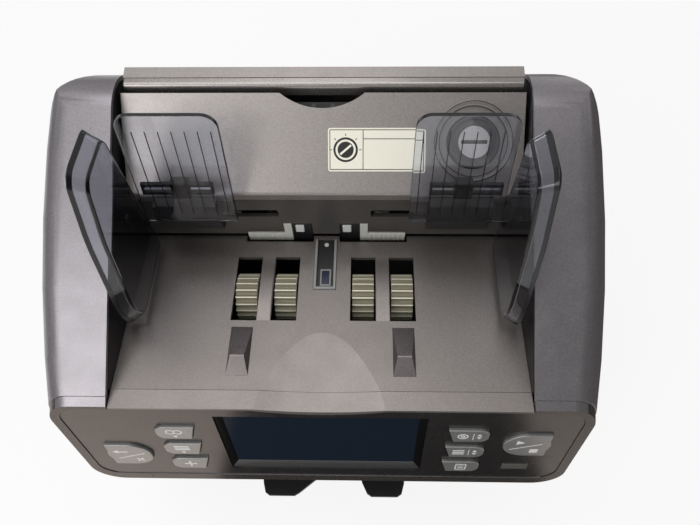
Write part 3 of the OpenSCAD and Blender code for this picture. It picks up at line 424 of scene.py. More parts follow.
finishLooks = {
    "coverPaint": {"tone": (142, 138, 142), "rough": 0.34, "flake": 0.26, "metal": 0.75, "dust": 0.03},
    "hopperPaint": {"tone": (156, 150, 147), "rough": 0.36, "flake": 0.26, "metal": 0.7, "dust": 0.03},
    # the floor and lip use the hopper paint made darker, as painted shade
    "floorPaintShaded": {"tone": (133, 127, 124), "rough": 0.36, "flake": 0.26, "metal": 0.7, "dust": 0.03},
    "railPaint": {"tone": (150, 145, 142), "rough": 0.24, "flake": 0.2, "metal": 0.75},
    # the back wall uses a darker grey of the same paint, as painted shade of a face turned from the
    # light
    "wallPaintShaded": {"tone": (100, 97, 94), "rough": 0.4, "flake": 0.2, "metal": 0.6},
    "rampPaint": {"tone": (122, 116, 115), "rough": 0.3, "flake": 0.2, "metal": 0.8},
    "rimPaint": {"tone": (57, 53, 50), "rough": 0.28, "flake": 0.2},
    "panelFilm": {"tone": (36, 34, 33), "rough": 0.24, "flake": 0.2, "spec": 0.9},
    # paler grey for the window sill: painted reflection
    "sillSheenGrey": {"tone": (60, 60, 62), "rough": 0.32, "grainSize": 1800.0, "bump": 0.05},
    "windowBlack": {"tone": (9, 9, 10), "rough": 0.4, "grainSize": 1800.0, "bump": 0.05, "spec": 0.1},
    "blackPlastic": {"tone": (27, 27, 29), "rough": 0.42, "grainSize": 1400.0, "bump": 0.12,
                     "dust": 0.04},
    "knobPaint": {"tone": (92, 89, 88), "rough": 0.4, "flake": 0.2, "metal": 0.35},
    "knobFace": {"tone": (228, 221, 217), "rough": 0.32, "flake": 0.12, "metal": 0.45},
    "smokeClear": {"tone": (190, 193, 203), "rough": 0.03, "grainSize": 300.0, "contrast": 0.05,
                   "marks": 0.04, "bump": 0.0, "clear": 1.0, "spec": 0.2},
    # the plate's smoke tint is paler than the wing's: painted reflection
    "smokePlateSheen": {"tone": (220, 223, 231), "rough": 0.03, "grainSize": 300.0, "contrast": 0.05,
                   "marks": 0.04, "bump": 0.0, "clear": 1.0, "spec": 0.2},
    "smokeEdge": {"tone": (24, 25, 29), "rough": 0.12, "grainSize": 300.0, "contrast": 0.1, "bump": 0.0,
                  "clear": 0.25},
    "keySilver": {"tone": (154, 154, 153), "rough": 0.36, "flake": 0.14, "metal": 0.62, "coat": 0.05},
    "keyPrint": {"tone": (222, 222, 220), "rough": 0.5, "bump": 0.0, "contrast": 0.06},
    "screenGlass": {"tone": (26, 35, 46), "rough": 0.16, "grainSize": 200.0, "contrast": 0.12,
                    "bump": 0.0, "spec": 0.02, "marks": 0.05},
    "lensDark": {"tone": (92, 91, 87), "rough": 0.18, "contrast": 0.1, "bump": 0.0, "coat": 0.3},
    "ivoryRubber": {"tone": (232, 229, 210), "rough": 0.42, "grainSize": 900.0, "contrast": 0.3,
                    "bump": 0.2},
    # darker rubber for the groove floors: painted shade
    "rubberGrooveShade": {"tone": (132, 127, 106), "rough": 0.6, "grainSize": 900.0, "contrast": 0.3,
                     "bump": 0.2},
    "blackRubber": {"tone": (30, 30, 31), "rough": 0.8, "grainSize": 900.0, "contrast": 0.3,
                    "bump": 0.25},
    # dark steel for the case screws, and for the pick-up shaft as painted shade beside the tyres
    "screwSteelAndShade": {"tone": (84, 84, 86), "rough": 0.45, "metal": 0.9, "grainSize": 700.0,
                   "contrast": 0.15},
    "groundSteel": {"tone": (190, 190, 190), "rough": 0.28, "metal": 1.0, "grainSize": 700.0,
                    "contrast": 0.15},
    "cheekBlack": {"tone": (13, 13, 15), "rough": 0.4, "grainSize": 1100.0, "bump": 0.15, "spec": 0.3},
    "blackSteel": {"tone": (30, 30, 32), "rough": 0.5, "grainSize": 1100.0, "bump": 0.2, "dust": 0.05},
    "whiteNylon": {"tone": (206, 206, 199), "rough": 0.45, "contrast": 0.06, "grainSize": 500.0},
    "sensorTrim": {"tone": (150, 150, 150), "rough": 0.4, "contrast": 0.1, "metal": 0.2},
    "boardGreen": {"tone": (28, 86, 50), "rough": 0.32, "contrast": 0.3, "grainSize": 260.0},
    "motorSteel": {"tone": (140, 141, 143), "rough": 0.36, "metal": 0.9, "contrast": 0.12},
    "pulleyMetal": {"tone": (196, 196, 198), "rough": 0.3, "metal": 1.0, "contrast": 0.1},
    "labelCream": {"tone": (250, 247, 232), "rough": 0.5, "contrast": 0.05, "grainSize": 900.0,
                   "bump": 0.03},
    "lensPale": {"tone": (214, 216, 214), "rough": 0.2, "contrast": 0.08, "bump": 0.0},
    # dark print for the label and seams, also used as painted shade in the knob's grooves and the screw
    # recesses
    "inkAndShade": {"tone": (36, 35, 34), "rough": 0.55, "contrast": 0.1, "bump": 0.0},
    "chipBlue": {"tone": (22, 34, 58), "rough": 0.15, "contrast": 0.2, "bump": 0.0, "coat": 0.5},
}
finishes = {name: makeFinish(name, look) for name, look in finishLooks.items()}
print("finishes made:", len(finishes))


creaseAngle = 32   # degrees from which an edge stays sharp, or is eased


def finishPiece(bm, name, body, looks, smoothAngle=creaseAngle):
    mesh = bpy.data.meshes.new(name)
    bm.to_mesh(mesh)
    bm.free()
    for look in looks:
        mesh.materials.append(finishes[look])
    mesh.polygons.foreach_set("use_smooth", [True] * len(mesh.polygons))
    mesh.set_sharp_from_angle(angle=math.radians(smoothAngle))
    piece = bpy.data.objects.new(name, mesh)
    bpy.context.scene.collection.objects.link(piece)
    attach(piece, body)
    return piece


# copies of the main solids with eased edges and even shading
mergeSet = {"distance": 2e-6, "flatAngle": 0.5}


def mergedCopy(node):
    bm = bmesh.new()
    bm.from_mesh(nodes[node].data)
    bmesh.ops.remove_doubles(bm, verts=bm.verts, dist=mergeSet["distance"])
    flat = math.radians(mergeSet["flatAngle"])
    bmesh.ops.dissolve_limit(bm, angle_limit=flat, verts=bm.verts, edges=bm.edges)
    return bm


def easePiece(piece, ease, segments=2):
    if ease > 0:
        bevel = piece.modifiers.new("easedEdges", "BEVEL")
        bevel.width = ease * mm
        bevel.segments = segments
        bevel.limit_method = "ANGLE"
        bevel.angle_limit = math.radians(creaseAngle)
        bevel.use_clamp_overlap = True
    even = piece.modifiers.new("evenShading", "WEIGHTED_NORMAL")
    even.keep_sharp = True


easedNodes = [
    {"node": "left_side_cover", "body": "case", "look": "coverPaint", "ease": 0.5},
    {"node": "right_side_cover", "body": "case", "look": "coverPaint", "ease": 0.5},
    # floor and lip take the darker copy of the hopper paint: painted shade
    {"node": "hopper_front_lip", "body": "case", "look": "floorPaintShaded", "ease": 0.4, "smooth": 3.2},
    {"node": "hopper_floor", "body": "case", "look": "floorPaintShaded", "ease": 0, "smooth": 3.2},
    {"node": "lift_ramps", "body": "case", "look": "rampPaint", "ease": 0.5},
    # the back wall's darker paint is painted shade
    {"node": "hopper_back_wall", "body": "case", "look": "wallPaintShaded", "ease": 0.35},
    {"node": "feed_cover", "body": "case", "look": "hopperPaint", "ease": 0.3},
    {"node": "door_rail", "body": "door", "look": "railPaint", "ease": 0.4},
    {"node": "rear_door", "body": "door", "look": "hopperPaint", "ease": 0.5},
    {"node": "rear_panel", "body": "case", "look": "hopperPaint", "ease": 0.4},
    {"node": "receiving_tray", "body": "case", "look": "blackPlastic", "ease": 0.6},
    {"node": "pocket_plate", "body": "case", "look": "blackSteel", "ease": 0.4},
    {"node": "pull_cup", "body": "case", "look": "blackPlastic", "ease": 0.3},
    {"node": "wear_strips", "body": "case", "look": "whiteNylon", "ease": 0.25},
    {"node": "edge_sensors", "body": "case", "look": "blackPlastic", "ease": 0.3},
    {"node": "sensor_frame", "body": "case", "look": "sensorTrim", "ease": 0.25},
    {"node": "status_lens", "body": "case", "look": "lensDark", "ease": 0.2},
    {"node": "power_inlet", "body": "case", "look": "blackPlastic", "ease": 0.4},
    {"node": "power_switch", "body": "switch", "look": "blackPlastic", "ease": 0.4},
    {"node": "left_guide_carriage", "body": "left_guide", "look": "blackPlastic", "ease": 0.5},
    {"node": "right_guide_carriage", "body": "right_guide", "look": "blackPlastic", "ease": 0.5},
    {"node": "rubber_feet", "body": "case", "look": "blackRubber", "ease": 1.0},
    {"node": "base_pan", "body": "case", "look": "blackSteel", "ease": 0.5},
]
keyNames = ["currency", "batch", "add", "mode", "menu", "report", "back", "start"]
for key in keyNames:
    keyNode = key + "_key"
    easedNodes.append({"node": keyNode, "body": "cap_" + keyNode, "look": "keySilver", "ease": 0.45})
for item in easedNodes:
    copy = mergedCopy(item["node"])
    smooth = item.get("smooth", creaseAngle)
    eased = finishPiece(copy, item["node"] + ".eased", item["body"], [item["look"]], smooth)
    easePiece(eased, item["ease"])
    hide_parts(item["node"])
print("eased copies:", len(easedNodes))

# bezel: rim outside, cover paint on top, black round the window, and a paler grey on the upward-facing
# sill as painted reflection
bezelSet = {
    "looks": ["rimPaint", "windowBlack", "sillSheenGrey", "coverPaint"], "ease": 0.4,
    "windowHalf": 58.0, "windowLow": -85.0, "windowHigh": -6.5,
    "sillFacing": (0.2, 0.5), "topFacing": 0.85,
}


def buildBezel():
    bm = mergedCopy("front_bezel")
    toPanel = slopeFrame("panel").inverted()
    for face in bm.faces:
        corners = [toPanel @ v.co for v in face.verts]
        facing = (toPanel.to_3x3() @ face.normal).normalized()
        inside = all(abs(c.x) < bezelSet["windowHalf"] for c in corners)
        if inside and all(bezelSet["windowLow"] < c.y < bezelSet["windowHigh"] for c in corners):
            # window faces that look up and forward take the paler grey: painted reflection
            sill = facing.y > bezelSet["sillFacing"][0] and facing.z > bezelSet["sillFacing"][1]
            face.material_index = 2 if sill else 1
        elif face.normal.z > bezelSet["topFacing"]:
            face.material_index = 3
    piece = finishPiece(bm, "front_bezel.eased", "case", bezelSet["looks"])
    easePiece(piece, bezelSet["ease"])
    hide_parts("front_bezel")


buildBezel()
print("bezel built")

# thickness knob: bright slotted face, dark skirt
knobSet = {"x": 78.2, "y": 28.0, "faceRadius": 8.3, "faceLow": 2.4, "faceFacing": 0.9, "ease": 0.25}


def buildKnob():
    bm = mergedCopy("adjust_knob")
    toCover = slopeFrame("cover").inverted()
    for face in bm.faces:
        p = toCover @ face.calc_center_median()
        facing = (toCover.to_3x3() @ face.normal).normalized()
        onFace = math.hypot(p.x - knobSet["x"], p.y - knobSet["y"]) < knobSet["faceRadius"]
        if onFace and p.z > knobSet["faceLow"] and facing.z > knobSet["faceFacing"]:
            face.material_index = 1
    piece = finishPiece(bm, "adjust_knob.eased", "knob", ["knobPaint", "knobFace"])
    easePiece(piece, knobSet["ease"])
    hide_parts("adjust_knob")


buildKnob()
print("knob built")


# small print and trim, drawn in millimetres
def addBar(bm, x, y, z, w, h, t, turn=0):
    at = Matrix.Translation((x, y, z + t / 2)) @ Matrix.Rotation(math.radians(turn), 4, "Z")
    bmesh.ops.create_cube(bm, size=1.0, matrix=at @ Matrix.Diagonal((w, h, t, 1)))


def addBlock(bm, low, high):
    middle = (Vector(low) + Vector(high)) / 2
    size = Vector(high) - Vector(low)
    at = Matrix.Translation(middle)
    bmesh.ops.create_cube(bm, size=1.0, matrix=at @ Matrix.Diagonal((*size, 1)))


def addDisc(bm, x, y, z, r, t, sides=36, turn=0):
    at = Matrix.Translation((x, y, z + t / 2)) @ Matrix.Rotation(math.radians(turn), 4, "Z")
    bmesh.ops.create_cone(
        bm, cap_ends=True, segments=sides, radius1=r, radius2=r, depth=t, matrix=at)


def addRod(bm, x0, x1, y, z, r, sides=20):
    at = Matrix.Translation(((x0 + x1) / 2, y, z)) @ Matrix.Rotation(math.radians(90), 4, "Y")
    bmesh.ops.create_cone(
        bm, cap_ends=True, segments=sides, radius1=r, radius2=r, depth=x1 - x0, matrix=at)


def raiseFaces(bm, faces, t):
    raised = bmesh.ops.extrude_face_region(bm, geom=faces)["geom"]
    top = [g for g in raised if isinstance(g, bmesh.types.BMVert)]
    bmesh.ops.translate(bm, verts=top, vec=(0, 0, t))
    return top


def roundCorners(bm, corners, offset, segments):
    bmesh.ops.bevel(bm, geom=corners, affect="VERTICES", offset=offset, offset_type="OFFSET",
                    segments=segments, profile=0.5, material=-1)


def addRing(bm, x, y, z, r, width, t, sides=40):
    at = Matrix.Translation((x, y, z))
    loops = []
    for radius in (r, r - width):
        made = bmesh.ops.create_circle(bm, cap_ends=False, segments=sides, radius=radius, matrix=at)
        loops += list({e for v in made["verts"] for e in v.link_edges})
    raiseFaces(bm, bmesh.ops.bridge_loops(bm, edges=loops)["faces"], t)


def addPlate(bm, x0, x1, y0, y1, z, t, corner):
    verts = [bm.verts.new(c) for c in ((x0, y0, z), (x1, y0, z), (x1, y1, z), (x0, y1, z))]
    before = set(bm.verts) - set(verts)
    bm.faces.new(verts)
    roundCorners(bm, verts, corner, 5)
    raiseFaces(bm, [f for f in bm.faces if all(v not in before for v in f.verts)], t)


def placeTrim(bm, where, name, body, look, flip=False):
    if flip:
        bmesh.ops.scale(bm, vec=(-1, 1, 1), verts=bm.verts)
    bmesh.ops.transform(bm, matrix=where, verts=bm.verts)
    bmesh.ops.recalc_face_normals(bm, faces=bm.faces)
    return finishPiece(bm, name, body, [look])


# clear guides: a side wing with a flared rim, and a ribbed plate across the back whose paler tint is
# painted reflection
guideSet = {
    "looks": ["smokePlateSheen", "smokeClear", "smokeEdge"], "x": 95.25, "thick": 2.5, "ease": 0.35,
    "wing": [(86.0, 6.0), (77.0, 99.3), (49.7, 100.0), (41.0, 70.0), (34.5, 21.0), (40.5, 6.4)],
    "rounds": [3.0, 4.0, 6.0, 6.0, 8.0, 3.0], "rimFoot": 8.0, "rimRear": 73.0, "rimTop": 98.5,
    "flares": ((1.078, 5.2), (1.03, 2.0)), "middle": (62.0, 52.0),
    "plateFoot": (82.6, 31.6), "plateTurn": 84.4, "plateX": (45.5, 93.9), "plateLen": 69.5,
    "plateRound": 7.5,
}
ribSet = {"count": 7, "first": 49.2, "pitch": 6.2, "low": 6.0, "high": 60.5, "width": 0.45, "proud": 0.3}
clipSet = {
    "block": ((67.8, 15.6, -8.0), (76.8, 26.2, -2.5)), "arms": (55.0, 92.0), "armDepth": (-4.8, -2.5),
    "upper": (24.0, 25.8), "lower": (18.4, 20.2), "endWall": 1.4, "ease": 0.3,
    "pins": ((56.5, 66.6), (79.2, 90.5)), "pinAt": (22.1, -3.9), "pinRadius": 0.85,
}
plateFoot = Matrix.Translation((0, *guideSet["plateFoot"]))
plateWay = plateFoot @ Matrix.Rotation(math.radians(guideSet["plateTurn"]), 4, "X")


def isRim(edge):
    middle = (edge.verts[0].co + edge.verts[1].co) / 2
    if middle.z <= guideSet["rimFoot"]:
        return False
    return middle.y < guideSet["rimRear"] or middle.z > guideSet["rimTop"]


def buildGuide(side):
    flip = side == "left"
    body = side + "_guide"
    bm = bmesh.new()
    wing = [bm.verts.new((guideSet["x"], s, n)) for s, n in guideSet["wing"]]
    bm.faces.new(wing).material_index = 1
    for corner, offset in zip(wing, guideSet["rounds"]):
        roundCorners(bm, [corner], offset, 5)
    rim = [edge for edge in bm.edges if isRim(edge)]
    about = Matrix.Translation((0, -guideSet["middle"][0], -guideSet["middle"][1]))
    for step, (grow, out) in enumerate(guideSet["flares"]):
        made = bmesh.ops.extrude_edge_only(bm, edges=rim)["geom"]
        flared = [g for g in made if isinstance(g, bmesh.types.BMVert)]
        bmesh.ops.scale(bm, vec=(1, grow, grow), space=about, verts=flared)
        bmesh.ops.translate(bm, verts=flared, vec=(out, 0, 0))
        for face in made:
            if isinstance(face, bmesh.types.BMFace):
                face.material_index = step + 1
        edges = [g for g in made if isinstance(g, bmesh.types.BMEdge)]
        rim = [edge for edge in edges if all(v in flared for v in edge.verts)]
    before = set(bm.verts)
    x0, x1 = guideSet["plateX"]
    deep = -guideSet["thick"] / 2
    length = guideSet["plateLen"]
    corners = ((x0, 0), (x1, 0), (x1, length), (x0, length))
    plate = [bm.verts.new((x, y, deep)) for x, y in corners]
    bm.faces.new(plate)
    roundCorners(bm, plate[2:], guideSet["plateRound"], 6)
    bmesh.ops.transform(bm, matrix=plateWay, verts=[v for v in bm.verts if v not in before])
    if flip:
        bmesh.ops.scale(bm, vec=(-1, 1, 1), verts=bm.verts)
    bmesh.ops.transform(bm, matrix=slopeFrame("floor"), verts=bm.verts)
    bmesh.ops.recalc_face_normals(bm, faces=bm.faces)
    piece = finishPiece(bm, side + "_note_guide.clear", body, guideSet["looks"])
    wall = piece.modifiers.new("wallThickness", "SOLIDIFY")
    wall.thickness = guideSet["thick"] * mm
    wall.offset = 0
    wall.use_even_offset = True
    wall.material_offset_rim = 2
    easePiece(piece, guideSet["ease"])
    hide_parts(side + "_note_guide")
    onPlate = slopeFrame("floor") @ plateWay
    ribs = bmesh.new()
    half = ribSet["width"] / 2
    for k in range(ribSet["count"]):
        x = ribSet["first"] + ribSet["pitch"] * k
        addBlock(ribs, (x - half, ribSet["low"], 0), (x + half, ribSet["high"], ribSet["proud"]))
    placeTrim(ribs, onPlate, side + "_guide_ribs", body, "smokeEdge", flip)
    clip = bmesh.new()
    addBlock(clip, *clipSet["block"])
    left, right = clipSet["arms"]
    deep, proud = clipSet["armDepth"]
    for low, high in (clipSet["upper"], clipSet["lower"]):
        addBlock(clip, (left, low, deep), (right, high, proud))
    for x in (left, right - clipSet["endWall"]):
        end = x + clipSet["endWall"]
        addBlock(clip, (x, clipSet["lower"][0], deep), (end, clipSet["upper"][1], proud))
    held = placeTrim(clip, onPlate, side + "_guide_clip", body, "smokeEdge", flip)
    easePiece(held, clipSet["ease"])
    pins = bmesh.new()
    for start, end in clipSet["pins"]:
        addRod(pins, start, end, *clipSet["pinAt"], clipSet["pinRadius"])
    placeTrim(pins, onPlate, side + "_guide_pins", body, "groundSteel", flip)


for side in ("left", "right"):
    buildGuide(side)
print("guides built")

# pick-up tyres: thin ribs over deep grooves, the groove floors darker as painted shade
tyreSet = {
    "axis": (-11.44, 168.56), "at": (-42.95, -21.45, 21.45, 42.95), "width": 11.8, "radius": 13.0,
    "bore": 8.1, "ribs": 20, "stepsPerRib": 5, "ribSteps": 2, "depth": 1.5, "grooveShare": 0.3,
    "ease": 0.22,
}


def buildTyres():
    bm = bmesh.new()
    steps = tyreSet["ribs"] * tyreSet["stepsPerRib"]
    sideways = Matrix.Rotation(math.radians(90), 4, "Y")
    for x in tyreSet["at"]:
        way = Matrix.Translation((x - tyreSet["width"] / 2, *tyreSet["axis"])) @ sideways
        outer, inner = (
            bmesh.ops.create_circle(bm, cap_ends=False, segments=steps, radius=tyreSet[edge])["verts"]
            for edge in ("radius", "bore"))
        for k, vert in enumerate(outer):
            if k % tyreSet["stepsPerRib"] >= tyreSet["ribSteps"]:
                vert.co *= 1 - tyreSet["depth"] / tyreSet["radius"]
        loops = list({e for v in outer + inner for e in v.link_edges})
        top = raiseFaces(bm, bmesh.ops.bridge_loops(bm, edges=loops)["faces"], tyreSet["width"])
        bmesh.ops.transform(bm, matrix=way, verts=outer + inner + top)
    bmesh.ops.scale(bm, vec=(mm, mm, mm), verts=bm.verts)
    bmesh.ops.recalc_face_normals(bm, faces=bm.faces)
    # faces low in the grooves get the darker rubber: painted shade
    low = (tyreSet["radius"] - tyreSet["depth"] * tyreSet["grooveShare"]) * mm
    for face in bm.faces:
        p = face.calc_center_median()
        fromAxis = math.hypot(p.y - tyreSet["axis"][0] * mm, p.z - tyreSet["axis"][1] * mm)
        onTread = abs(face.normal.x) < 0.5
        face.material_index = 1 if onTread and fromAxis < low else 0
    piece = finishPiece(bm, "pickup_tyres.ribbed", "pickup_roller", ["ivoryRubber", "rubberGrooveShade"])
    easePiece(piece, tyreSet["ease"])
    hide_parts("pickup_tyres")


buildTyres()
print("tyres built")

# nodes that keep their solid and get a finish
keptNodes = {
    "case_screws": "screwSteelAndShade", "left_frame_plate": "cheekBlack", "right_frame_plate": "cheekBlack",
    "control_panel": "panelFilm", "display_glass": "screenGlass", "key_board": "boardGreen",
    # the pick-up shaft's dark steel is painted shade
    "hopper_sensor": "blackPlastic", "pickup_shaft": "screwSteelAndShade",
    "pickup_pulley": "pulleyMetal", "feed_shaft": "groundSteel", "feed_tyres": "blackRubber",
    "feed_pulley": "pulleyMetal", "retard_shaft": "groundSteel", "retard_rollers": "blackRubber",
    "stacker_shaft": "groundSteel", "stacker_wheels": "blackRubber", "stacker_pulley": "pulleyMetal",
    "shaft_bearings": "groundSteel", "drive_motor": "motorSteel", "motor_pulley": "pulleyMetal",
    "drive_belt": "blackRubber", "image_sensors": "blackPlastic", "main_board": "boardGreen",
    "hinge_rod": "groundSteel",
}
for node, look in keptNodes.items():
    for kept in nodes[node].material_slots:
        kept.material = finishes[look]
print("kept solids dressed:", len(keptNodes))


# key marks in pale print: bars, rings and triangles around each key's middle
markSet = {"top": 1.2, "thick": 0.09, "stroke": 0.75}
upDown = [(5.2, 1.5, 1.5, 90), (5.2, -1.5, 1.5, 270)]   # two arrowheads beside a mark
keyMarks = {
    "currency": {
        "at": (-77.5, -26.4), "rings": [(-2.4, 1.2, 2.5), (1.6, 1.2, 2.5)],
        "triangles": [(-0.4, -4.0, 1.5, 270)]},
    "batch": {
        "at": (-77.5, -47.0), "triangles": [(-0.4, -4.2, 1.5, 270)],
        "bars": [(-0.4, 3.2, 8.4, 1.1, 0), (-0.4, 1.1, 8.4, 1.1, 0), (-0.4, -1.0, 8.4, 1.1, 0)]},
    "add": {"at": (-77.5, -68.0), "bars": [(0, 0, 7.0, 1.2, 0), (0, 0, 1.2, 7.0, 0)]},
    "mode": {
        "at": (77.5, -26.8), "rings": [(-3.4, 0, 2.9), (-3.4, 0, 1.3)],
        "bars": [(2.0, 0, 0.4, 7.0, 0)], "triangles": upDown},
    "menu": {
        "at": (77.5, -47.4), "triangles": upDown,
        "bars": [(-3.6, 2.2, 6.4, 1.0, 0), (-3.6, 0, 6.4, 1.0, 0), (-3.6, -2.2, 6.4, 1.0, 0),
                 (2.0, 0, 0.4, 7.0, 0)]},
    "report": {
        "at": (77.5, -68.2),
        "bars": [(0, 3.6, 6.2, 0.7, 0), (0, -3.6, 6.2, 0.7, 0), (-2.8, 0, 0.7, 7.4, 0),
                 (2.8, 0, 0.7, 7.4, 0), (0, 1.3, 3.4, 0.7, 0), (0, -1.0, 3.4, 0.7, 0)]},
    "back": {
        "at": (-109.5, -57.6), "triangles": [(-6.8, 5.4, 2.3, 180)],
        "bars": [(0.5, 0, 18.0, 0.55, 24), (-3.2, 5.4, 5.6, 1.0, 0), (4.4, -5.0, 5.2, 1.0, 45),
                 (4.4, -5.0, 5.2, 1.0, 135)]},
    "start": {
        "at": (109.5, -39.2), "bars": [(-0.5, 0, 18.0, 0.55, 24), (4.6, -5.2, 4.4, 4.4, 0)],
        "triangles": [(-4.6, 5.2, 2.9, 0)]},
}


def buildKeyMarks(key):
    marks = keyMarks[key]
    top = markSet["top"]
    thick = markSet["thick"]
    bm = bmesh.new()
    x, y = marks["at"]
    for dx, dy, w, h, turn in marks.get("bars", []):
        addBar(bm, x + dx, y + dy, top, w, h, thick, turn)
    for dx, dy, r in marks.get("rings", []):
        addRing(bm, x + dx, y + dy, top, r, markSet["stroke"], thick)
    for dx, dy, r, turn in marks.get("triangles", []):
        addDisc(bm, x + dx, y + dy, top, r, thick, 3, turn - 90)
    placeTrim(bm, slopeFrame("panel"), key + "_key_mark", "cap_" + key + "_key", "keyPrint")


for key in keyNames:
    buildKeyMarks(key)
print("key marks printed")

# blank cream label on the feed cover, with ruled frame and a plain dial
labelSet = {
    "x": (2.9, 53.7), "y": (12.2, 34.6), "thick": 0.12, "corner": 1.2, "line": 0.4, "inset": 1.0,
    "divider": 21.2, "rule": 29.0, "lineInk": 0.03, "dialInk": 0.04,
    "dial": (12.1, 23.4), "dialRadius": 6.4, "dialLine": 1.1, "hubInset": 2.2,
    "ticks": (0, 45, 90, 135, 180), "tick": (1.2, 0.4), "tickGap": 1.3,
    "slit": (7.4, 1.1), "slitInk": 0.02, "slitTurn": 40,
}


def buildLabel():
    bm = bmesh.new()
    x0, x1 = labelSet["x"]
    y0, y1 = labelSet["y"]
    top = labelSet["thick"]
    addPlate(bm, x0, x1, y0, y1, 0, top, labelSet["corner"])
    placeTrim(bm, slopeFrame("cover"), "feed_label", "case", "labelCream")
    ink = bmesh.new()
    gap = labelSet["inset"]
    line = labelSet["line"]
    lineInk = labelSet["lineInk"]
    dialInk = labelSet["dialInk"]
    divider = labelSet["divider"]
    middle = ((x0 + x1) / 2, (y0 + y1) / 2)
    for y in (y0 + gap, y1 - gap):
        addBar(ink, middle[0], y, top, x1 - x0 - 2 * gap, line, lineInk)
    for x in (x0 + gap, x1 - gap, divider):
        addBar(ink, x, middle[1], top, line, y1 - y0 - 2 * gap, lineInk)
    addBar(ink, (divider + x1 - gap) / 2, labelSet["rule"], top, x1 - gap - divider, line, lineInk)
    dialX, dialY = labelSet["dial"]
    radius = labelSet["dialRadius"]
    addRing(ink, dialX, dialY, top, radius, labelSet["dialLine"], dialInk)
    addDisc(ink, dialX, dialY, top, radius - labelSet["hubInset"], dialInk)
    reach = radius + labelSet["tickGap"]
    for turn in labelSet["ticks"]:
        tickX = dialX + reach * math.cos(math.radians(turn))
        tickY = dialY + reach * math.sin(math.radians(turn))
        addBar(ink, tickX, tickY, top, *labelSet["tick"], dialInk, turn)
    placeTrim(ink, slopeFrame("cover"), "feed_label_lines", "case", "inkAndShade")
    slit = bmesh.new()
    onHub = top + dialInk
    addBar(slit, dialX, dialY, onHub, *labelSet["slit"], labelSet["slitInk"], labelSet["slitTurn"])
    placeTrim(slit, slopeFrame("cover"), "feed_label_slit", "case", "labelCream")


buildLabel()
print("label placed")

# small optics: chip and dot in the hopper sensor, lenses on the edge sensors
opticSet = {
    "chip": ((-1.9, 63.4, -0.62), (2.5, 72.4, -0.2)), "chipEase": 0.15,
    "seat": ((-2.7, 62.4, -0.62), (3.3, 73.4, -0.4)), "seatEase": 0.1,
    "dot": (0.2, 90.4, -0.6), "dotRadius": 1.3, "dotThick": 0.4, "dotEase": 0.12,
    "lensX": ((-17.3, -12.4), (9.6, 14.5)), "lensY": (5.6, 12.0), "lensZ": (-0.4, 0.9),
    "lensEase": 0.3,
}


def buildOptics():
    onFloor = slopeFrame("floor")
    bm = bmesh.new()
    addBlock(bm, *opticSet["chip"])
    chip = placeTrim(bm, onFloor, "hopper_sensor_chip", "case", "chipBlue")
    easePiece(chip, opticSet["chipEase"])
    bm = bmesh.new()
    addBlock(bm, *opticSet["seat"])
    seat = placeTrim(bm, onFloor, "hopper_sensor_seat", "case", "sensorTrim")
    easePiece(seat, opticSet["seatEase"])
    bm = bmesh.new()
    addDisc(bm, *opticSet["dot"], opticSet["dotRadius"], opticSet["dotThick"])
    dot = placeTrim(bm, onFloor, "hopper_sensor_dot", "case", "whiteNylon")
    easePiece(dot, opticSet["dotEase"])
    bm = bmesh.new()
    y0, y1 = opticSet["lensY"]
    z0, z1 = opticSet["lensZ"]
    for x0, x1 in opticSet["lensX"]:
        addBlock(bm, (x0, y0, z0), (x1, y1, z1))
    lenses = placeTrim(bm, slopeFrame("wall"), "edge_sensor_lenses", "case", "lensPale")
    easePiece(lenses, opticSet["lensEase"])


buildOptics()
print("optics placed")

# dark rings round the knob, drawn as painted shade of its grooves and steps
ringSet = {
    "rings": ((20.4, 0.5, 0.55), (17.9, 0.5, -0.1), (13.9, 0.9, -1.2)), "thick": 0.08, "sides": 72,
}


def buildKnobRings():
    bm = bmesh.new()
    x, y = knobSet["x"], knobSet["y"]
    for radius, width, level in ringSet["rings"]:
        addRing(bm, x, y, level, radius, width, ringSet["thick"], ringSet["sides"])
    placeTrim(bm, slopeFrame("cover"), "knob_ring_shade", "case", "inkAndShade")


buildKnobRings()
print("knob rings drawn")

# fine ribs along the wear strips
stripSet = {
    "first": 25.4, "last": 45.0, "pitch": 2.8, "width": 0.9, "y": (-3.9, 2.6), "base": 0.2, "proud": 0.6,
    "ease": 0.2,
}


def buildStripRibs():
    bm = bmesh.new()
    count = int((stripSet["last"] - stripSet["first"]) / stripSet["pitch"]) + 1
    half = stripSet["width"] / 2
    low, high = stripSet["y"]
    for side in (-1, 1):
        for k in range(count):
            x = side * (stripSet["first"] + stripSet["pitch"] * k)
            addBlock(bm, (x - half, low, stripSet["base"]), (x + half, high, stripSet["proud"]))
    ribs = placeTrim(bm, slopeFrame("wall"), "wear_strip_ribs", "case", "whiteNylon")
    easePiece(ribs, stripSet["ease"])


buildStripRibs()
print("strip ribs built")

# cross-head screws of the rear panel, whose cross recesses are drawn as dark bars: painted shade
screwSet = {
    "at": ((-98.5, 17.0), (98.5, 17.0), (-98.5, 92.0), (98.5, 92.0)), "radius": 3.1, "head": 1.3,
    "sunk": 0.2, "ease": 0.5, "slot": (3.6, 0.8), "slotTurns": (25, 115), "slotThick": 0.1,
    "slotProud": 0.03,
}


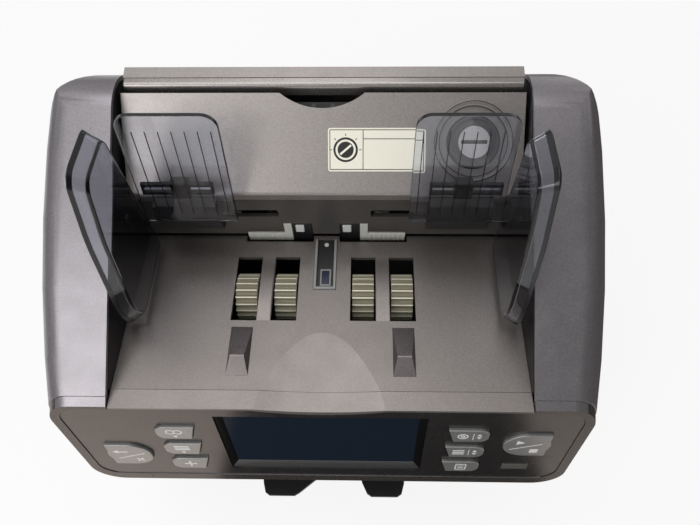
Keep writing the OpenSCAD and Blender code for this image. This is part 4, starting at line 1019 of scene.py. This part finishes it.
def buildRearScrews():
    heads = bmesh.new()
    slots = bmesh.new()
    top = -screwSet["head"]
    slotTop = top - screwSet["slotProud"]
    for x, z in screwSet["at"]:
        addDisc(heads, x, z, top, screwSet["radius"], screwSet["head"] + screwSet["sunk"])
        for turn in screwSet["slotTurns"]:
            addBar(slots, x, z, slotTop, *screwSet["slot"], screwSet["slotThick"], turn)
    screws = placeTrim(heads, slopeFrame("rear"), "rear_screws", "case", "groundSteel")
    easePiece(screws, screwSet["ease"], 3)
    # the cross recesses are dark bars: painted shade
    placeTrim(slots, slopeFrame("rear"), "rear_screw_slot_shade", "case", "inkAndShade")


buildRearScrews()
print("rear screws placed")

# on and off marks on the rocker
rockerSet = {
    "at": (-42.0, 110.0, 36.5), "rock": -7.0, "proud": 1.0, "onTurn": -100.5, "offTurn": -79.5,
    "reach": 4.3, "thick": 0.06, "onBar": (0.8, 3.8), "offRing": (2.0, 0.6),
}


def buildRockerMarks():
    pivot = Matrix.Translation(Vector(rockerSet["at"]) * mm)
    rocker = pivot @ Matrix.Rotation(math.radians(rockerSet["rock"]), 4, "X")
    rocker = rocker @ Matrix.Scale(mm, 4) @ Matrix.Translation((0, rockerSet["proud"], 0))
    onMark = bmesh.new()
    addBar(onMark, 0, -rockerSet["reach"], 0, *rockerSet["onBar"], rockerSet["thick"])
    onWay = rocker @ Matrix.Rotation(math.radians(rockerSet["onTurn"]), 4, "X")
    placeTrim(onMark, onWay, "switch_on_mark", "switch", "keyPrint")
    offMark = bmesh.new()
    addRing(offMark, 0, rockerSet["reach"], 0, *rockerSet["offRing"], rockerSet["thick"])
    offWay = rocker @ Matrix.Rotation(math.radians(rockerSet["offTurn"]), 4, "X")
    placeTrim(offMark, offWay, "switch_off_mark", "switch", "keyPrint")


buildRockerMarks()
print("rocker marked")

# seams of the bezel's lower strip
seamSet = {"x": 105.8, "y": (-95.2, -88.2), "half": 0.2, "proud": 0.05}


def buildSeams():
    bm = bmesh.new()
    for x in (-seamSet["x"], seamSet["x"]):
        low = (x - seamSet["half"], seamSet["y"][0], -seamSet["proud"])
        high = (x + seamSet["half"], seamSet["y"][1], seamSet["proud"])
        addBlock(bm, low, high)
    placeTrim(bm, slopeFrame("panel"), "bezel_seams", "case", "inkAndShade")


buildSeams()
print("seams drawn")
